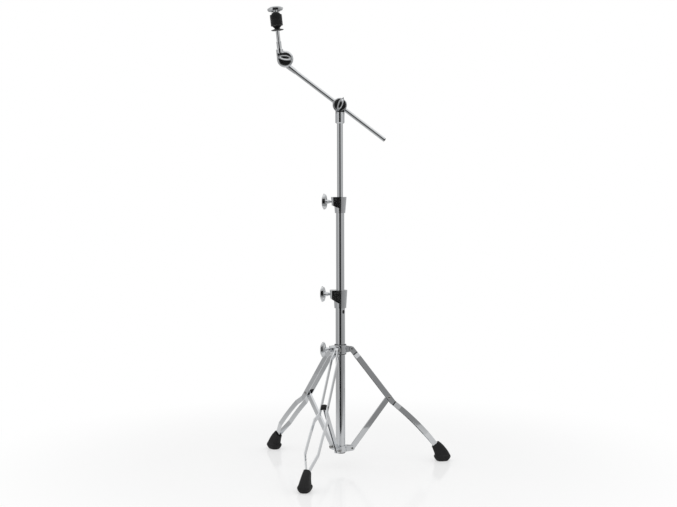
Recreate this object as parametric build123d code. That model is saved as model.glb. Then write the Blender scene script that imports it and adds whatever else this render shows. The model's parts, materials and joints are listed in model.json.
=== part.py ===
from build123d import *
import math
import os

# Double-braced boom cymbal stand, in millimetres.
# Z is the axis of the tubes and z = 0 is the floor. One leg lies along +X, the boom rises
# towards -X in the XZ plane, and the tilter wing nuts face -Y.

# ---------------------------------------------------------------- general fits
GAP = 0.15                      # play between flat faces that move on each other
TURN_GAP = 0.08                 # radial play of a pin, thread or rod in its hole

# ---------------------------------------------------------------- tubes
LOWER_TUBE_R = 12.7             # one inch tube
TUBE_WALL = 1.0
LOWER_SLEEVE = 0.52             # nylon between the lower and the middle tube
UPPER_SLEEVE = 2.07             # nylon between the middle and the upper tube
MIDDLE_TUBE_R = LOWER_TUBE_R - TUBE_WALL - LOWER_SLEEVE - TURN_GAP      # seven eighths
UPPER_TUBE_R = MIDDLE_TUBE_R - TUBE_WALL - UPPER_SLEEVE - TURN_GAP      # five eighths
LOWER_TUBE_BOTTOM = 38.0
MIDDLE_TUBE_BOTTOM = 262.0
UPPER_TUBE_BOTTOM = 484.0
GLIDE_HEIGHT = 16.0             # nylon plug in the foot of a sliding tube
GLIDE_RIM = 3.0
PLUG_HEIGHT = 12.0              # rubber plug in the foot of the lower tube
PLUG_RIM = 2.0

# ---------------------------------------------------------------- tripod linkage
LEG_AZIMUTHS = (9, 129, 249)    # degrees from +X; the boom lies along -X
PIN_STANDOFF = 18.3             # outside of the tube to the collar pins and to the bracket pins
PIN_RADIUS = LOWER_TUBE_R + PIN_STANDOFF
LINK_LENGTH = 170.0             # upper leg and brace alike, pin to pin
BRACKET_PIN_Z = 48.0
COLLAR_PIN_Z = 318.0
HALF_RISE = (COLLAR_PIN_Z - BRACKET_PIN_Z) / 2
JOINT_Z = BRACKET_PIN_Z + HALF_RISE
LINK_REACH = math.sqrt(LINK_LENGTH ** 2 - HALF_RISE ** 2)
JOINT_RADIUS = PIN_RADIUS + LINK_REACH
PIN_R = 3.0                     # rivets of the linkage
PIN_HEAD_R = 4.6
PIN_HEAD_TOP_R = 2.8
PIN_HEAD_HEIGHT = 1.6

# ---------------------------------------------------------------- legs
STRIP_DEPTH = 13.8
STRIP_THICKNESS = 2.3
KINK_AFTER_JOINT = 19.0         # where the straight upper leg turns outwards
FOOT_RADIUS = 287.0             # tube axis to the middle of the sole
TOE_INSET = 17.0                # middle of the sole to the end of the strips
TOE_RADIUS = FOOT_RADIUS - TOE_INSET
TOE_Z = 42.0
LEG_BOW = 5.0                   # how far the lower leg arches above its chord
JOGGLE_START = 16.0             # first bend below the collar pin, along the leg
JOGGLE_LENGTH = 12.0
SPLAY_LENGTH = 20.0             # second bend, past the kink
STRIP_SPREAD = 17.5             # middle of the lower leg to the middle of a strip
TOE_SPREAD = 4.2
TAPER_LENGTH = 44.0             # run in which the strips close up towards the foot
TAPER_END = 8.0                 # part of the strips that is parallel again in the foot
SPLAY_LEAD = 2.0                # straight run between the kink and the second bend
KINK_SLOPE_SHARE = 0.08         # shares of the lower leg's arc where the strips take their
TOE_SLOPE_SHARE = 0.9           # slopes for the kink and for the toe
BRACE_WIDTH = 6.5
BRACE_WALL = 1.5
INSERT_RIM = 1.1                # black rim over the upper end of a brace
INSERT_REACH = 8.0              # how far its core goes down the channel
SPACER_THICKNESS = 4.6
SPACER_R = 7.0

# ---------------------------------------------------------------- rubber feet
FOOT_LENGTH = 46.0
FOOT_WIDTH = 34.0
FOOT_BULGE_Z = 12.0             # height of the widest line
FOOT_LEVELS = (                 # height, length and width of the bowl-shaped sole, from the floor up
    (0.0, 30.0, 22.0),
    (4.8, 40.0, 29.6),
    (FOOT_BULGE_Z, FOOT_LENGTH, FOOT_WIDTH),
    (17.0, 42.8, 30.6),
)
BOOT_RINGS = (                  # inset, height, slope, length and width, from the bulge to the mouth
    (0.0, FOOT_BULGE_Z, 0, 41.4, 29.2),
    (5.0, 26.0, 13, 35.0, 26.5),
    (TOE_INSET + 3.5, TOE_Z + 6, 38, 27.0, 19.5),
)
BOOT_CORNER = 0.42              # corner radius as a share of the width

# ---------------------------------------------------------------- bottom bracket and leg collar
BRACKET_RING_R = LOWER_TUBE_R + 3.5
BRACKET_HEIGHT = 17.0
BRACKET_EAR = 2.3               # plate of the forked ears
BRACKET_EAR_END_R = 7.0
COLLAR_RING_R = LOWER_TUBE_R + 3.8
COLLAR_HEIGHT = 24.0
COLLAR_EAR = 5.0
COLLAR_LUG_END = LOWER_TUBE_R + 16.9
COLLAR_LUG_WIDTH = 17.0
COLLAR_LUG_HEIGHT = 19.0
COLLAR_LINER = 1.4              # wall of the nylon sleeve in the collar
COLLAR_LIP = 1.3                # thickness of the sleeve's rims above and below the ring
COLLAR_LIP_R = COLLAR_RING_R - 0.4
COLLAR_BOLT_AZIMUTH = 189

# ---------------------------------------------------------------- height clamps
CLAMP_AZIMUTH = 177             # both clamp lugs point the same way
CLAMP_LIP = 1.6                 # casting above the end of the tube that it grips
LOWER_CLAMP_TOP = 477.8
LOWER_CLAMP_HEIGHT = 48.3
LOWER_CLAMP_TOP_R = LOWER_TUBE_R + 6.3
LOWER_CLAMP_BOTTOM_R = LOWER_TUBE_R + 3.3
LOWER_LUG_END = LOWER_TUBE_R + 15.5
LOWER_LUG_HEIGHT = 19.5
LOWER_LUG_ROOT = 37.0           # height of the lug where it runs into the body
LOWER_BOLT_DROP = 10.8          # wing bolt below the top of the clamp
UPPER_CLAMP_TOP = 727.7
UPPER_CLAMP_HEIGHT = 42.9
UPPER_CLAMP_TOP_R = MIDDLE_TUBE_R + 6.3
UPPER_CLAMP_BOTTOM_R = MIDDLE_TUBE_R + 2.8
UPPER_LUG_END = MIDDLE_TUBE_R + 13.1
UPPER_LUG_HEIGHT = 21.0
UPPER_LUG_ROOT = 31.0
UPPER_BOLT_DROP = 12.4
LUG_CORNER_R = 7.0
LUG_WAIST = (0.6, 0.45)         # bend of the lug's underside: share of its reach, and of its fall
SNAP_AZIMUTH = 309              # lug of the nylon bushing, in its slot in the lower tube
SNAP_Z = 419.8
SNAP_LENGTH = 10.0
SNAP_WIDTH = 6.8
SNAP_STEP = 0.3

# ---------------------------------------------------------------- wing bolts and wing nuts
BOLT_R = 4.0
UPPER_BOLT_R = 3.2
PAD_LENGTH = 2.6
WING_SPAN = 42.5
WING_DEPTH = 15.5
WING_WIDTH = 13.5
WING_TIP_R = 4.4
WING_HUB_R = 6.4
WING_EDGE = (                   # one edge of the leaf, as shares of half the span and half the width
    (1.0, -0.35),
    (0.45, 0.75),
    (-0.1, 1.0),
    (-0.6, 0.75),
    (-1.0, 0.35),
)
WING_NECK = 7.0                 # cone between the wing and the thread
NECK_STEP = 0.9                 # how much the cone's small end stands out from the thread
NUT_BOSS = 2.5                  # round boss under the wing of a tilter's nut
HUB_SHARE = 0.8                 # how deep the hub, the thread and the hole reach into the wing
BOLT_SHARE = 0.6
BLIND_SHARE = 0.65
COLLAR_WING_START = COLLAR_LUG_END + 9.4    # tube axis to the near side of the wing
LOWER_WING_START = LOWER_LUG_END + 10.6
UPPER_WING_START = UPPER_LUG_END + 9.6

# ---------------------------------------------------------------- boom tilter
BOOM_AXIS_Z = 973.1
SOCKET_BOTTOM = 923.7
SOCKET_TOP = 947.6
SOCKET_R = UPPER_TUBE_R + 4.4
SOCKET_CHAMFER = 2.4
SOCKET_DEPTH = 22.0             # how far the upper tube goes in
HEAD_R = 16.8
HEAD_FRONT = -6.8               # y of the front face of the socket head
HEAD_THICKNESS = 8.0
HEAD_ROUND = 1.8                # rounding of the rims of the two discs
NECK_WIDTH = 23.6               # between the round socket and the disc
NECK_TOP = SOCKET_TOP + 5.6     # top of the neck's round part, below the clamp's disc
CAP_R = 16.0                    # black pressure caps under the wing nuts
CAP_THICKNESS = 5.2
CAP_STEPS = (                   # inset from the rim, and share of the thickness
    (0.0, 0.0),
    (0.0, 0.48),
    (1.0, 0.64),
    (3.2, 0.64),
    (3.6, 0.8),
    (6.6, 0.8),
    (7.2, 1.0),
)
EYE_BOLT_R = 4.0
BOOM_OFFSET = 18.5              # y of the boom, so that it passes behind the socket
CLAMP_R = 19.2                  # disc of the boom clamp, behind the socket's
CLAMP_PLATE = 6.5
BARREL_R = 8.2
BARREL_LENGTH = 33.0
LINER_WALL = 1.0
LINER_RIM = 1.5
EYE_WIDTH = 9.5
EYE_R = 9.6
BOOM_WING_TURN = 71             # the way each wing points, about its own axis

# ---------------------------------------------------------------- boom
BOOM_TILT = 37.2                # degrees above level
BOOM_R = 5.5
BOOM_REACH = 188.7              # clamp to the foot of the top tilter
BOOM_TAIL = 151.5
BOOM_WALL = 1.8
END_PLUG_LENGTH = 9.0
END_PLUG_DOME = 2.6
SLEEVE_ROOT_R = 7.5
SLEEVE_TIP_R = 6.3
SLEEVE_LENGTH = 28.0
SLEEVE_START = 15.0             # from the tilter axis, along the boom

# ---------------------------------------------------------------- top tilter
TILTER_LIFT = 8.3               # tilter axis above the axis of the boom
ARM_R = 21.8
ARM_FRONT = -7.0
ARM_THICKNESS = 14.0
ARM_FRONT_ROUND = 5.4           # rounding of its rims
ARM_ROUND = 3.2
BRAKE_R = 16.0
BRAKE_THICKNESS = 2.4
BASE_R = 20.5
BASE_THICKNESS = 8.0
TILTER_BOLT_R = 4.0
TILTER_BOLT_HEAD_R = 7.2
TILTER_BOLT_HEAD = 4.0
TILTER_WING_TURN = -4

# ---------------------------------------------------------------- cymbal rod, seat and felts
ROD_LEAN = 6.0                  # degrees from upright, towards the boom's free side
ROD_OFFSET = 12.0               # tilter axis to the axis of the cymbal rod
BOSS_R = 9.5
BOSS_START = 16.0
BOSS_END = 26.0
BOSS_TIP = 28.5
BOSS_TIP_R = 7.0
ROD_ROOT_R = 6.4
ROD_SHOULDER = 48.5
ROD_R = 5.0
THREAD_R = 4.0
SEAT_BOTTOM = 77.4
SEAT_SKIRT_R = 16.5
SEAT_NECK_R = 7.0
SEAT_NECK = 82.0
SEAT_TOP = 89.2
SEAT_TOP_R = 11.5
SLEEVE_R = 6.2                  # sleeve of the seat, through the felts
SEAT_HOLLOW = 1.6               # depth of the hollow under the skirt
SEAT_EDGE = 1.0                 # thickness of the skirt's rim
SLEEVE_DROP = 1.5               # end of the sleeve below the top of the felts
FELT_R = 16.25
FELT_THICKNESS = 14.5
FELT_PLAY = 0.3
DOME_R = 11.5
DOME_HEIGHT = 6.0
DOME_STEPS = ((0, 0), (0, 1.4), (0.8, 3.2), (2.6, 5.0))         # inset and height of its outline
NUT_HUB_R = 6.6


# ================================================================ small tools
def rod(radius, start, end):
    """Round bar along Z from start to end."""
    return Pos(0, 0, start) * Cylinder(radius, end - start, align=(Align.CENTER, Align.CENTER, Align.MIN))


def turned(*profile):
    """Solid of revolution about Z from (radius, z) corners."""
    return revolve(Plane.XZ * make_face(Polyline(*profile, close=True)), axis=Axis.Z)


def pipe(outer, inner, start, end):
    """Round tube along Z."""
    return rod(outer, start, end) - rod(inner, start - 1, end + 1)


def across(radius, x, z, half_length):
    """Round bar along Y through (x, z)."""
    return Pos(x, 0, z) * Rot(90, 0, 0) * Cylinder(radius, 2 * half_length)


def spin(shape, azimuth):
    """Turn a shape about the tube axis."""
    return Rot(0, 0, azimuth) * shape


def flat_between(face, low, high):
    """Thickness from y = low to y = high given to a face drawn in x and z."""
    return Pos(0, high, 0) * extrude(Plane.XZ * face, high - low)


def radial(azimuth, z):
    """Frame whose +Z runs outwards from the tube axis at a height."""
    return Pos(0, 0, z) * Rot(0, 0, azimuth) * Rot(0, 90, 0)


# ================================================================ tubes
def lower_tube_end():
    return LOWER_CLAMP_TOP - CLAMP_LIP


def middle_tube_end():
    return UPPER_CLAMP_TOP - CLAMP_LIP


def upper_tube_end():
    return SOCKET_BOTTOM + SOCKET_DEPTH


def snap_slot(play):
    """Oval through the tube wall, for the lug of the bushing."""
    oval = SlotOverall(SNAP_LENGTH + 2 * play, SNAP_WIDTH + 2 * play)
    return radial(SNAP_AZIMUTH, SNAP_Z) * extrude(oval, LOWER_TUBE_R + SNAP_STEP)


def pad_hole(azimuth, z, radius, reach):
    return radial(azimuth, z) * rod(radius, 0, reach)


def lower_tube():
    tube = pipe(LOWER_TUBE_R, LOWER_TUBE_R - TUBE_WALL, LOWER_TUBE_BOTTOM, lower_tube_end())
    tube -= snap_slot(0)
    return tube - pad_hole(CLAMP_AZIMUTH, LOWER_CLAMP_TOP - LOWER_BOLT_DROP, BOLT_R + GAP, 2 * LOWER_TUBE_R)


def middle_tube():
    tube = pipe(MIDDLE_TUBE_R, MIDDLE_TUBE_R - TUBE_WALL, MIDDLE_TUBE_BOTTOM, middle_tube_end())
    hole_r = UPPER_BOLT_R + GAP
    return tube - pad_hole(CLAMP_AZIMUTH, UPPER_CLAMP_TOP - UPPER_BOLT_DROP, hole_r, 2 * MIDDLE_TUBE_R)


def upper_tube():
    return pipe(UPPER_TUBE_R, UPPER_TUBE_R - TUBE_WALL, UPPER_TUBE_BOTTOM, upper_tube_end())


def tube_plug():
    """Plug in the open foot of the lower tube, with a rim as wide as the tube."""
    stem = rod(LOWER_TUBE_R - TUBE_WALL, LOWER_TUBE_BOTTOM, LOWER_TUBE_BOTTOM + PLUG_HEIGHT)
    stem += rod(LOWER_TUBE_R, LOWER_TUBE_BOTTOM - PLUG_RIM, LOWER_TUBE_BOTTOM)
    return stem - rod(LOWER_TUBE_R / 2, LOWER_TUBE_BOTTOM, LOWER_TUBE_BOTTOM + PLUG_HEIGHT + 1)


def glide(tube_r, outer_tube_r, bottom):
    """Nylon guide under a sliding tube: a stem inside it and a rim that runs in the outer tube."""
    stem_r = tube_r - TUBE_WALL - TURN_GAP
    rim_r = outer_tube_r - TUBE_WALL - TURN_GAP
    ring = rod(stem_r, bottom - GAP, bottom + GLIDE_HEIGHT)
    ring += rod(rim_r, bottom - GAP - GLIDE_RIM, bottom - GAP)
    return ring - rod(stem_r / 2, bottom - GLIDE_RIM - 1, bottom + GLIDE_HEIGHT + 1)


# ================================================================ tripod
def link_direction():
    """Unit vector from a collar pin down to its leg joint, in the leg's plane."""
    return Vector(LINK_REACH / LINK_LENGTH, 0, -HALF_RISE / LINK_LENGTH)


def leg_point(radius, z):
    return Vector(radius, 0, z)


def kink_point():
    return leg_point(JOINT_RADIUS, JOINT_Z) + link_direction() * KINK_AFTER_JOINT


def lower_leg_line():
    """Centre line of the lower leg in the leg's plane, a gentle arc from the kink to the toe."""
    kink = kink_point()
    return SagittaArc((kink.X, kink.Z), (TOE_RADIUS, TOE_Z), LEG_BOW)


def strip_outline():
    """Side view of a leg strip: a band along the bent centre line with round ends."""
    kink = kink_point()
    line = Line((PIN_RADIUS, COLLAR_PIN_Z), (kink.X, kink.Z)) + lower_leg_line()
    return make_face(offset(line, STRIP_DEPTH / 2, side=Side.BOTH))


def band(origin, direction, points):
    """Slab of strip thickness, seen edge on along a stretch of the leg.

    points are (distance along the leg, sideways place) of its middle."""
    frame = Plane(origin, x_dir=direction, z_dir=(-direction.Z, 0, direction.X))
    face = make_face(offset(Polyline(*points), STRIP_THICKNESS / 2, side=Side.BOTH))
    return extrude(frame * face, 2 * STRIP_DEPTH, both=True)


def ear_spread():
    """Middle of the leg to the middle of a strip, at the collar."""
    return COLLAR_EAR / 2 + GAP + STRIP_THICKNESS / 2


def joint_spread():
    """The same at the leg joint, outside the spacers."""
    return BRACE_WIDTH / 2 + GAP + SPACER_THICKNESS + STRIP_THICKNESS / 2


def leg_strip():
    """One of the two steel strips of a leg, on the +Y side."""
    pin = leg_point(PIN_RADIUS, COLLAR_PIN_Z)
    joint_run = LINK_LENGTH + KINK_AFTER_JOINT
    joggle_end = JOGGLE_START + JOGGLE_LENGTH
    upper = [(-STRIP_DEPTH, ear_spread()), (JOGGLE_START, ear_spread())]
    upper += [(joggle_end, joint_spread()), (joint_run, joint_spread())]
    arc = lower_leg_line()
    start = arc % KINK_SLOPE_SHARE
    finish = arc % TOE_SLOPE_SHARE
    kink = kink_point()
    toe = leg_point(TOE_RADIUS, TOE_Z)
    meet = math.hypot(toe.X - kink.X, toe.Z - kink.Z) / 2 + STRIP_THICKNESS
    first = [(-2 * SPLAY_LEAD, joint_spread()), (SPLAY_LEAD, joint_spread())]
    first += [(SPLAY_LEAD + SPLAY_LENGTH, STRIP_SPREAD), (meet, STRIP_SPREAD)]
    last = [(-meet, STRIP_SPREAD), (-TAPER_END - TAPER_LENGTH, STRIP_SPREAD)]
    last += [(-TAPER_END, TOE_SPREAD), (STRIP_DEPTH, TOE_SPREAD)]
    slab = band(pin, link_direction(), upper)
    slab += band(kink, Vector(start.X, 0, start.Y), first)
    slab += band(toe, Vector(finish.X, 0, finish.Y), last)
    side = flat_between(strip_outline(), 0, STRIP_SPREAD + STRIP_THICKNESS)
    strip = side & slab
    reach = STRIP_SPREAD + STRIP_THICKNESS
    strip -= across(PIN_R + TURN_GAP, PIN_RADIUS, COLLAR_PIN_Z, reach)
    return strip - across(PIN_R, JOINT_RADIUS, JOINT_Z, reach)


def leg_strips():
    strip = leg_strip()
    return [strip, mirror(strip, about=Plane.XZ)]


def rivet(x, z, half_grip):
    """Pin along Y with a head at each end, over the parts that it holds."""
    shape = across(PIN_R, x, z, half_grip)
    head = Cone(PIN_HEAD_R, PIN_HEAD_TOP_R, PIN_HEAD_HEIGHT, align=(Align.CENTER, Align.CENTER, Align.MIN))
    shape += Pos(x, -half_grip, z) * Rot(90, 0, 0) * head
    shape += Pos(x, half_grip, z) * Rot(-90, 0, 0) * head
    return shape


def joint_rivet():
    return rivet(JOINT_RADIUS, JOINT_Z, joint_spread() + STRIP_THICKNESS / 2)


def joint_spacers():
    """Black rings between the brace and the two strips."""
    inner = BRACE_WIDTH / 2 + GAP
    face = Pos(JOINT_RADIUS, JOINT_Z) * (Circle(SPACER_R) - Circle(PIN_R))
    return [flat_between(face, inner, inner + SPACER_THICKNESS),
            flat_between(face, -inner - SPACER_THICKNESS, -inner)]


def brace():
    """Folded channel from the bracket pin up to the leg joint, open on its lower side."""
    half = STRIP_DEPTH / 2
    line = Line((PIN_RADIUS, BRACKET_PIN_Z), (JOINT_RADIUS, JOINT_Z))
    bar = flat_between(make_face(offset(line, half, side=Side.BOTH)), -BRACE_WIDTH / 2, BRACE_WIDTH / 2)
    along = Vector(LINK_REACH, 0, HALF_RISE).normalized()
    frame = Plane((PIN_RADIUS, 0, BRACKET_PIN_Z), x_dir=along, z_dir=(0, -1, 0))
    hollow = Pos(LINK_LENGTH / 2, -BRACE_WALL) * Rectangle(LINK_LENGTH + 2 * STRIP_DEPTH, STRIP_DEPTH)
    bar -= extrude(frame * hollow, BRACE_WIDTH / 2 - BRACE_WALL, both=True)
    hole_r = PIN_R + TURN_GAP
    bar -= across(hole_r, PIN_RADIUS, BRACKET_PIN_Z, BRACE_WIDTH)
    return bar - across(hole_r, JOINT_RADIUS, JOINT_Z, BRACE_WIDTH)


def brace_insert():
    """Nylon core of the brace's upper end, with a rim that covers the end of the channel."""
    half = STRIP_DEPTH / 2
    along = Vector(LINK_REACH, 0, HALF_RISE).normalized()
    knee = Plane((JOINT_RADIUS, 0, JOINT_Z), x_dir=along, z_dir=(0, -1, 0))
    side = Circle(half) + Pos(-INSERT_REACH / 2, 0) * Rectangle(INSERT_REACH, 2 * half)
    below_web = Pos(0, -BRACE_WALL) * Rectangle(4 * half, 2 * half)
    core = extrude(knee * side, BRACE_WIDTH / 2 - BRACE_WALL, both=True)
    core &= extrude(knee * below_web, BRACE_WIDTH, both=True)
    end = Pos(2 * half, 0) * Rectangle(4 * half, 4 * half)
    rim = extrude(knee * (Circle(half + INSERT_RIM) - Circle(half)), BRACE_WIDTH / 2, both=True)
    rim &= extrude(knee * end, BRACE_WIDTH, both=True)
    return core + rim - across(PIN_R + TURN_GAP, JOINT_RADIUS, JOINT_Z, BRACE_WIDTH)


def foot_section(inset, z, slope, length, width):
    """Rounded outline of the foot, square to the leg's plane, tipped up on its outer side."""
    place = Pos(FOOT_RADIUS - inset, 0, z) * Rot(0, -slope, 0)
    return place * RectangleRounded(length, width, BOOT_CORNER * width)


def rubber_foot(strips):
    """Boot with a bowl-shaped sole, closed round the ends of the two strips."""
    sole = loft([foot_section(0, z, 0, length, width) for z, length, width in FOOT_LEVELS], ruled=True)
    boot = loft([foot_section(*ring) for ring in BOOT_RINGS], ruled=True)
    foot = sole + boot
    for strip in strips:
        foot -= strip
    return foot


def leg_bracket():
    """Ring on the foot of the lower tube, with a forked ear for each brace."""
    bottom = BRACKET_PIN_Z - BRACKET_HEIGHT / 2
    ring = rod(BRACKET_RING_R, bottom, bottom + BRACKET_HEIGHT)
    half_gap = BRACE_WIDTH / 2 + GAP
    root = Pos(LOWER_TUBE_R, BRACKET_PIN_Z) * Rectangle(1, BRACKET_HEIGHT)
    end = Pos(PIN_RADIUS, BRACKET_PIN_Z) * Circle(BRACKET_EAR_END_R)
    side = make_hull(root.edges() + end.edges()) - Pos(PIN_RADIUS, BRACKET_PIN_Z) * Circle(PIN_R)
    plates = flat_between(side, half_gap, half_gap + BRACKET_EAR)
    plates += flat_between(side, -half_gap - BRACKET_EAR, -half_gap)
    for azimuth in LEG_AZIMUTHS:
        ring += spin(plates, azimuth)
    return ring - rod(LOWER_TUBE_R, bottom - 1, bottom + BRACKET_HEIGHT + 1)


def bracket_pins():
    pin = rivet(PIN_RADIUS, BRACKET_PIN_Z, BRACE_WIDTH / 2 + GAP + BRACKET_EAR)
    return [spin(pin, azimuth) for azimuth in LEG_AZIMUTHS]


def collar_pins():
    pin = rivet(PIN_RADIUS, COLLAR_PIN_Z, COLLAR_EAR / 2 + 2 * GAP + STRIP_THICKNESS)
    return [spin(pin, azimuth) for azimuth in LEG_AZIMUTHS]


def collar_bottom():
    return COLLAR_PIN_Z - COLLAR_HEIGHT / 2


def liner_outer():
    return LOWER_TUBE_R + TURN_GAP + COLLAR_LINER


def leg_collar():
    """Sliding collar: a ring with an ear for each leg and a lug for its wing bolt."""
    top = collar_bottom() + COLLAR_HEIGHT
    ring = turned((0, collar_bottom()), (COLLAR_RING_R - 1, collar_bottom()),
                  (COLLAR_RING_R, collar_bottom() + 1.5), (COLLAR_RING_R, top - 1), (COLLAR_RING_R - 1, top),
                  (0, top))
    root = Pos(LOWER_TUBE_R, COLLAR_PIN_Z) * Rectangle(1, COLLAR_HEIGHT * 0.8)
    end = Pos(PIN_RADIUS, COLLAR_PIN_Z) * Circle(STRIP_DEPTH / 2)
    side = make_hull(root.edges() + end.edges()) - Pos(PIN_RADIUS, COLLAR_PIN_Z) * Circle(PIN_R)
    ear = flat_between(side, -COLLAR_EAR / 2, COLLAR_EAR / 2)
    for azimuth in LEG_AZIMUTHS:
        ring += spin(ear, azimuth)
    lug = RectangleRounded(COLLAR_LUG_HEIGHT, COLLAR_LUG_WIDTH, COLLAR_LUG_WIDTH * 0.3)
    ring += radial(COLLAR_BOLT_AZIMUTH, COLLAR_PIN_Z) * extrude(lug, COLLAR_LUG_END)
    ring -= rod(liner_outer(), collar_bottom() - 1, top + 1)
    return ring - pad_hole(COLLAR_BOLT_AZIMUTH, COLLAR_PIN_Z, BOLT_R + TURN_GAP, COLLAR_LUG_END + 1)


def collar_liner():
    """Nylon sleeve that lets the collar slide on the tube: a rim at each end, and a hole for the pad."""
    top = collar_bottom() + COLLAR_HEIGHT
    sleeve = pipe(liner_outer(), LOWER_TUBE_R + TURN_GAP, collar_bottom(), top)
    for rim in (collar_bottom() - COLLAR_LIP, top):
        sleeve += pipe(COLLAR_LIP_R, LOWER_TUBE_R + TURN_GAP, rim, rim + COLLAR_LIP)
    return sleeve - pad_hole(COLLAR_BOLT_AZIMUTH, COLLAR_PIN_Z, BOLT_R + TURN_GAP, COLLAR_LUG_END)


# ================================================================ height clamps
def clamp_casting(top, height, top_r, bottom_r, lug_end, lug_height, lug_root, tube_r, bolt_drop, bolt_r):
    """Tapered clamp body with a lug that carries the wing bolt, built pointing along -X."""
    body = turned((0, top - height), (bottom_r, top - height), (top_r, top), (0, top))
    slope = math.degrees(math.atan((top_r - bottom_r) / height))
    plan = Pos(-lug_end / 2, 0) * Rectangle(lug_end, 2 * top_r)
    far_corners = plan.vertices().sort_by(Axis.X)[:2]
    plan = fillet(far_corners, LUG_CORNER_R)
    block = extrude(Pos(0, 0, top) * plan, -lug_root - 1, taper=slope)
    waist = (-LUG_WAIST[0] * lug_end, top - lug_height - LUG_WAIST[1] * (lug_root - lug_height))
    under = Spline((-lug_end - 1, top - lug_height), waist, (0, top - lug_root))
    edge = Polyline((0, top - lug_root), (top_r, top - lug_root), (top_r, top + 1), (-lug_end - 1, top + 1),
                    (-lug_end - 1, top - lug_height))
    block &= flat_between(make_face(under + edge), -2 * top_r, 2 * top_r)
    body += block
    body -= rod(tube_r, top - height - 1, top + 1)
    return Rot(0, 0, 180) * (body - Pos(0, 0, top - bolt_drop) * Rot(0, -90, 0) * rod(bolt_r, 0, lug_end + 1))


def lower_clamp():
    casting = clamp_casting(LOWER_CLAMP_TOP, LOWER_CLAMP_HEIGHT, LOWER_CLAMP_TOP_R, LOWER_CLAMP_BOTTOM_R,
                            LOWER_LUG_END, LOWER_LUG_HEIGHT, LOWER_LUG_ROOT, LOWER_TUBE_R, LOWER_BOLT_DROP,
                            BOLT_R + TURN_GAP)
    return spin(casting, CLAMP_AZIMUTH)


def upper_clamp():
    casting = clamp_casting(UPPER_CLAMP_TOP, UPPER_CLAMP_HEIGHT, UPPER_CLAMP_TOP_R, UPPER_CLAMP_BOTTOM_R,
                            UPPER_LUG_END, UPPER_LUG_HEIGHT, UPPER_LUG_ROOT, MIDDLE_TUBE_R, UPPER_BOLT_DROP,
                            UPPER_BOLT_R + TURN_GAP)
    return spin(casting, CLAMP_AZIMUTH)


def tube_bushing(tube_r, inner_tube_r, clamp_top, length):
    """Nylon sleeve between two tubes, with a rim on the end of the outer one."""
    tube_end = clamp_top - CLAMP_LIP
    sleeve = rod(tube_r - TUBE_WALL, tube_end - length, tube_end)
    sleeve += rod(tube_r, tube_end, clamp_top)
    return sleeve - rod(inner_tube_r + TURN_GAP, tube_end - length - 1, clamp_top + 1)


def lower_bushing():
    length = lower_tube_end() - SNAP_Z + SNAP_LENGTH
    sleeve = tube_bushing(LOWER_TUBE_R, MIDDLE_TUBE_R, LOWER_CLAMP_TOP, length)
    lug = snap_slot(0) - rod(LOWER_TUBE_R - TUBE_WALL, SNAP_Z - SNAP_LENGTH, SNAP_Z + SNAP_LENGTH)
    return sleeve + lug


def upper_bushing():
    return tube_bushing(MIDDLE_TUBE_R, UPPER_TUBE_R, UPPER_CLAMP_TOP, UPPER_CLAMP_HEIGHT)


# ================================================================ wing bolts and wing nuts
def wing():
    """Cast wing, its axis on Z and its near side at z = 0: a twisted leaf seen from the end."""
    tip_x = WING_SPAN / 2 - WING_TIP_R
    middle = WING_DEPTH / 2
    hull = Pos(tip_x, middle) * Circle(WING_TIP_R) + Pos(-tip_x, middle) * Circle(WING_TIP_R)
    hull += Pos(0, middle) * Circle(middle)
    side = flat_between(make_hull(hull.edges()), -WING_WIDTH, WING_WIDTH)
    edge = Spline(*[(x * WING_SPAN / 2, y * WING_WIDTH / 2) for x, y in WING_EDGE])
    leaf = make_face(edge + Rot(0, 0, 180) * edge)
    return side & extrude(leaf, WING_DEPTH)


def pad(azimuth, z, seat_r, radius):
    """Slug between a wing bolt and what it presses on; seat_r is the radius of that surface."""
    return radial(azimuth, z) * rod(radius, seat_r + GAP, seat_r + GAP + PAD_LENGTH)


def wing_bolt(azimuth, z, seat_r, start, radius):
    """Wing with a tapered neck and a thread that reaches the pad."""
    bolt = Pos(0, 0, start) * wing()
    neck = Cone(radius + NECK_STEP, WING_HUB_R, WING_NECK, align=(Align.CENTER, Align.CENTER, Align.MIN))
    bolt += Pos(0, 0, start - WING_NECK) * neck
    bolt += rod(WING_HUB_R, start, start + WING_DEPTH / 2)
    bolt += rod(radius, seat_r + 1.5 * GAP + PAD_LENGTH, start)
    return radial(azimuth, z) * bolt


def wing_nut(bolt_r, boss):
    """Wing on a round boss with a blind threaded hole; its axis is on Z."""
    nut = Pos(0, 0, boss) * wing() + rod(WING_HUB_R, 0, boss + HUB_SHARE * WING_DEPTH)
    return nut - rod(bolt_r + TURN_GAP, -1, boss + BLIND_SHARE * WING_DEPTH)


def pressure_cap(bolt_r):
    """Black stepped disc that a tilter's wing nut presses on; its back is at z = 0."""
    bore = bolt_r + TURN_GAP
    steps = [(CAP_R - inset, share * CAP_THICKNESS) for inset, share in CAP_STEPS]
    return turned((bore, 0), *steps, (bore, CAP_THICKNESS))


def facing(x, y, z):
    """Frame whose +Z looks along -Y, out of the front of a tilter."""
    return Pos(x, y, z) * Rot(90, 0, 0)


def round_disc(radius, thickness, front_round, back_round=0):
    """Disc on Z with rounded rims; its back is at z = 0."""
    disc = rod(radius, 0, thickness)
    back, front = disc.edges().filter_by(GeomType.CIRCLE).sort_by(Axis.Z)
    if front_round:
        disc = fillet(front, front_round)
    if back_round:
        back = disc.edges().filter_by(GeomType.CIRCLE).sort_by(Axis.Z)[0]
        disc = fillet(back, back_round)
    return disc


# ================================================================ boom tilter
def head_back():
    return HEAD_FRONT + HEAD_THICKNESS


def boom_cap_front():
    return HEAD_FRONT - GAP - CAP_THICKNESS


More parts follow.
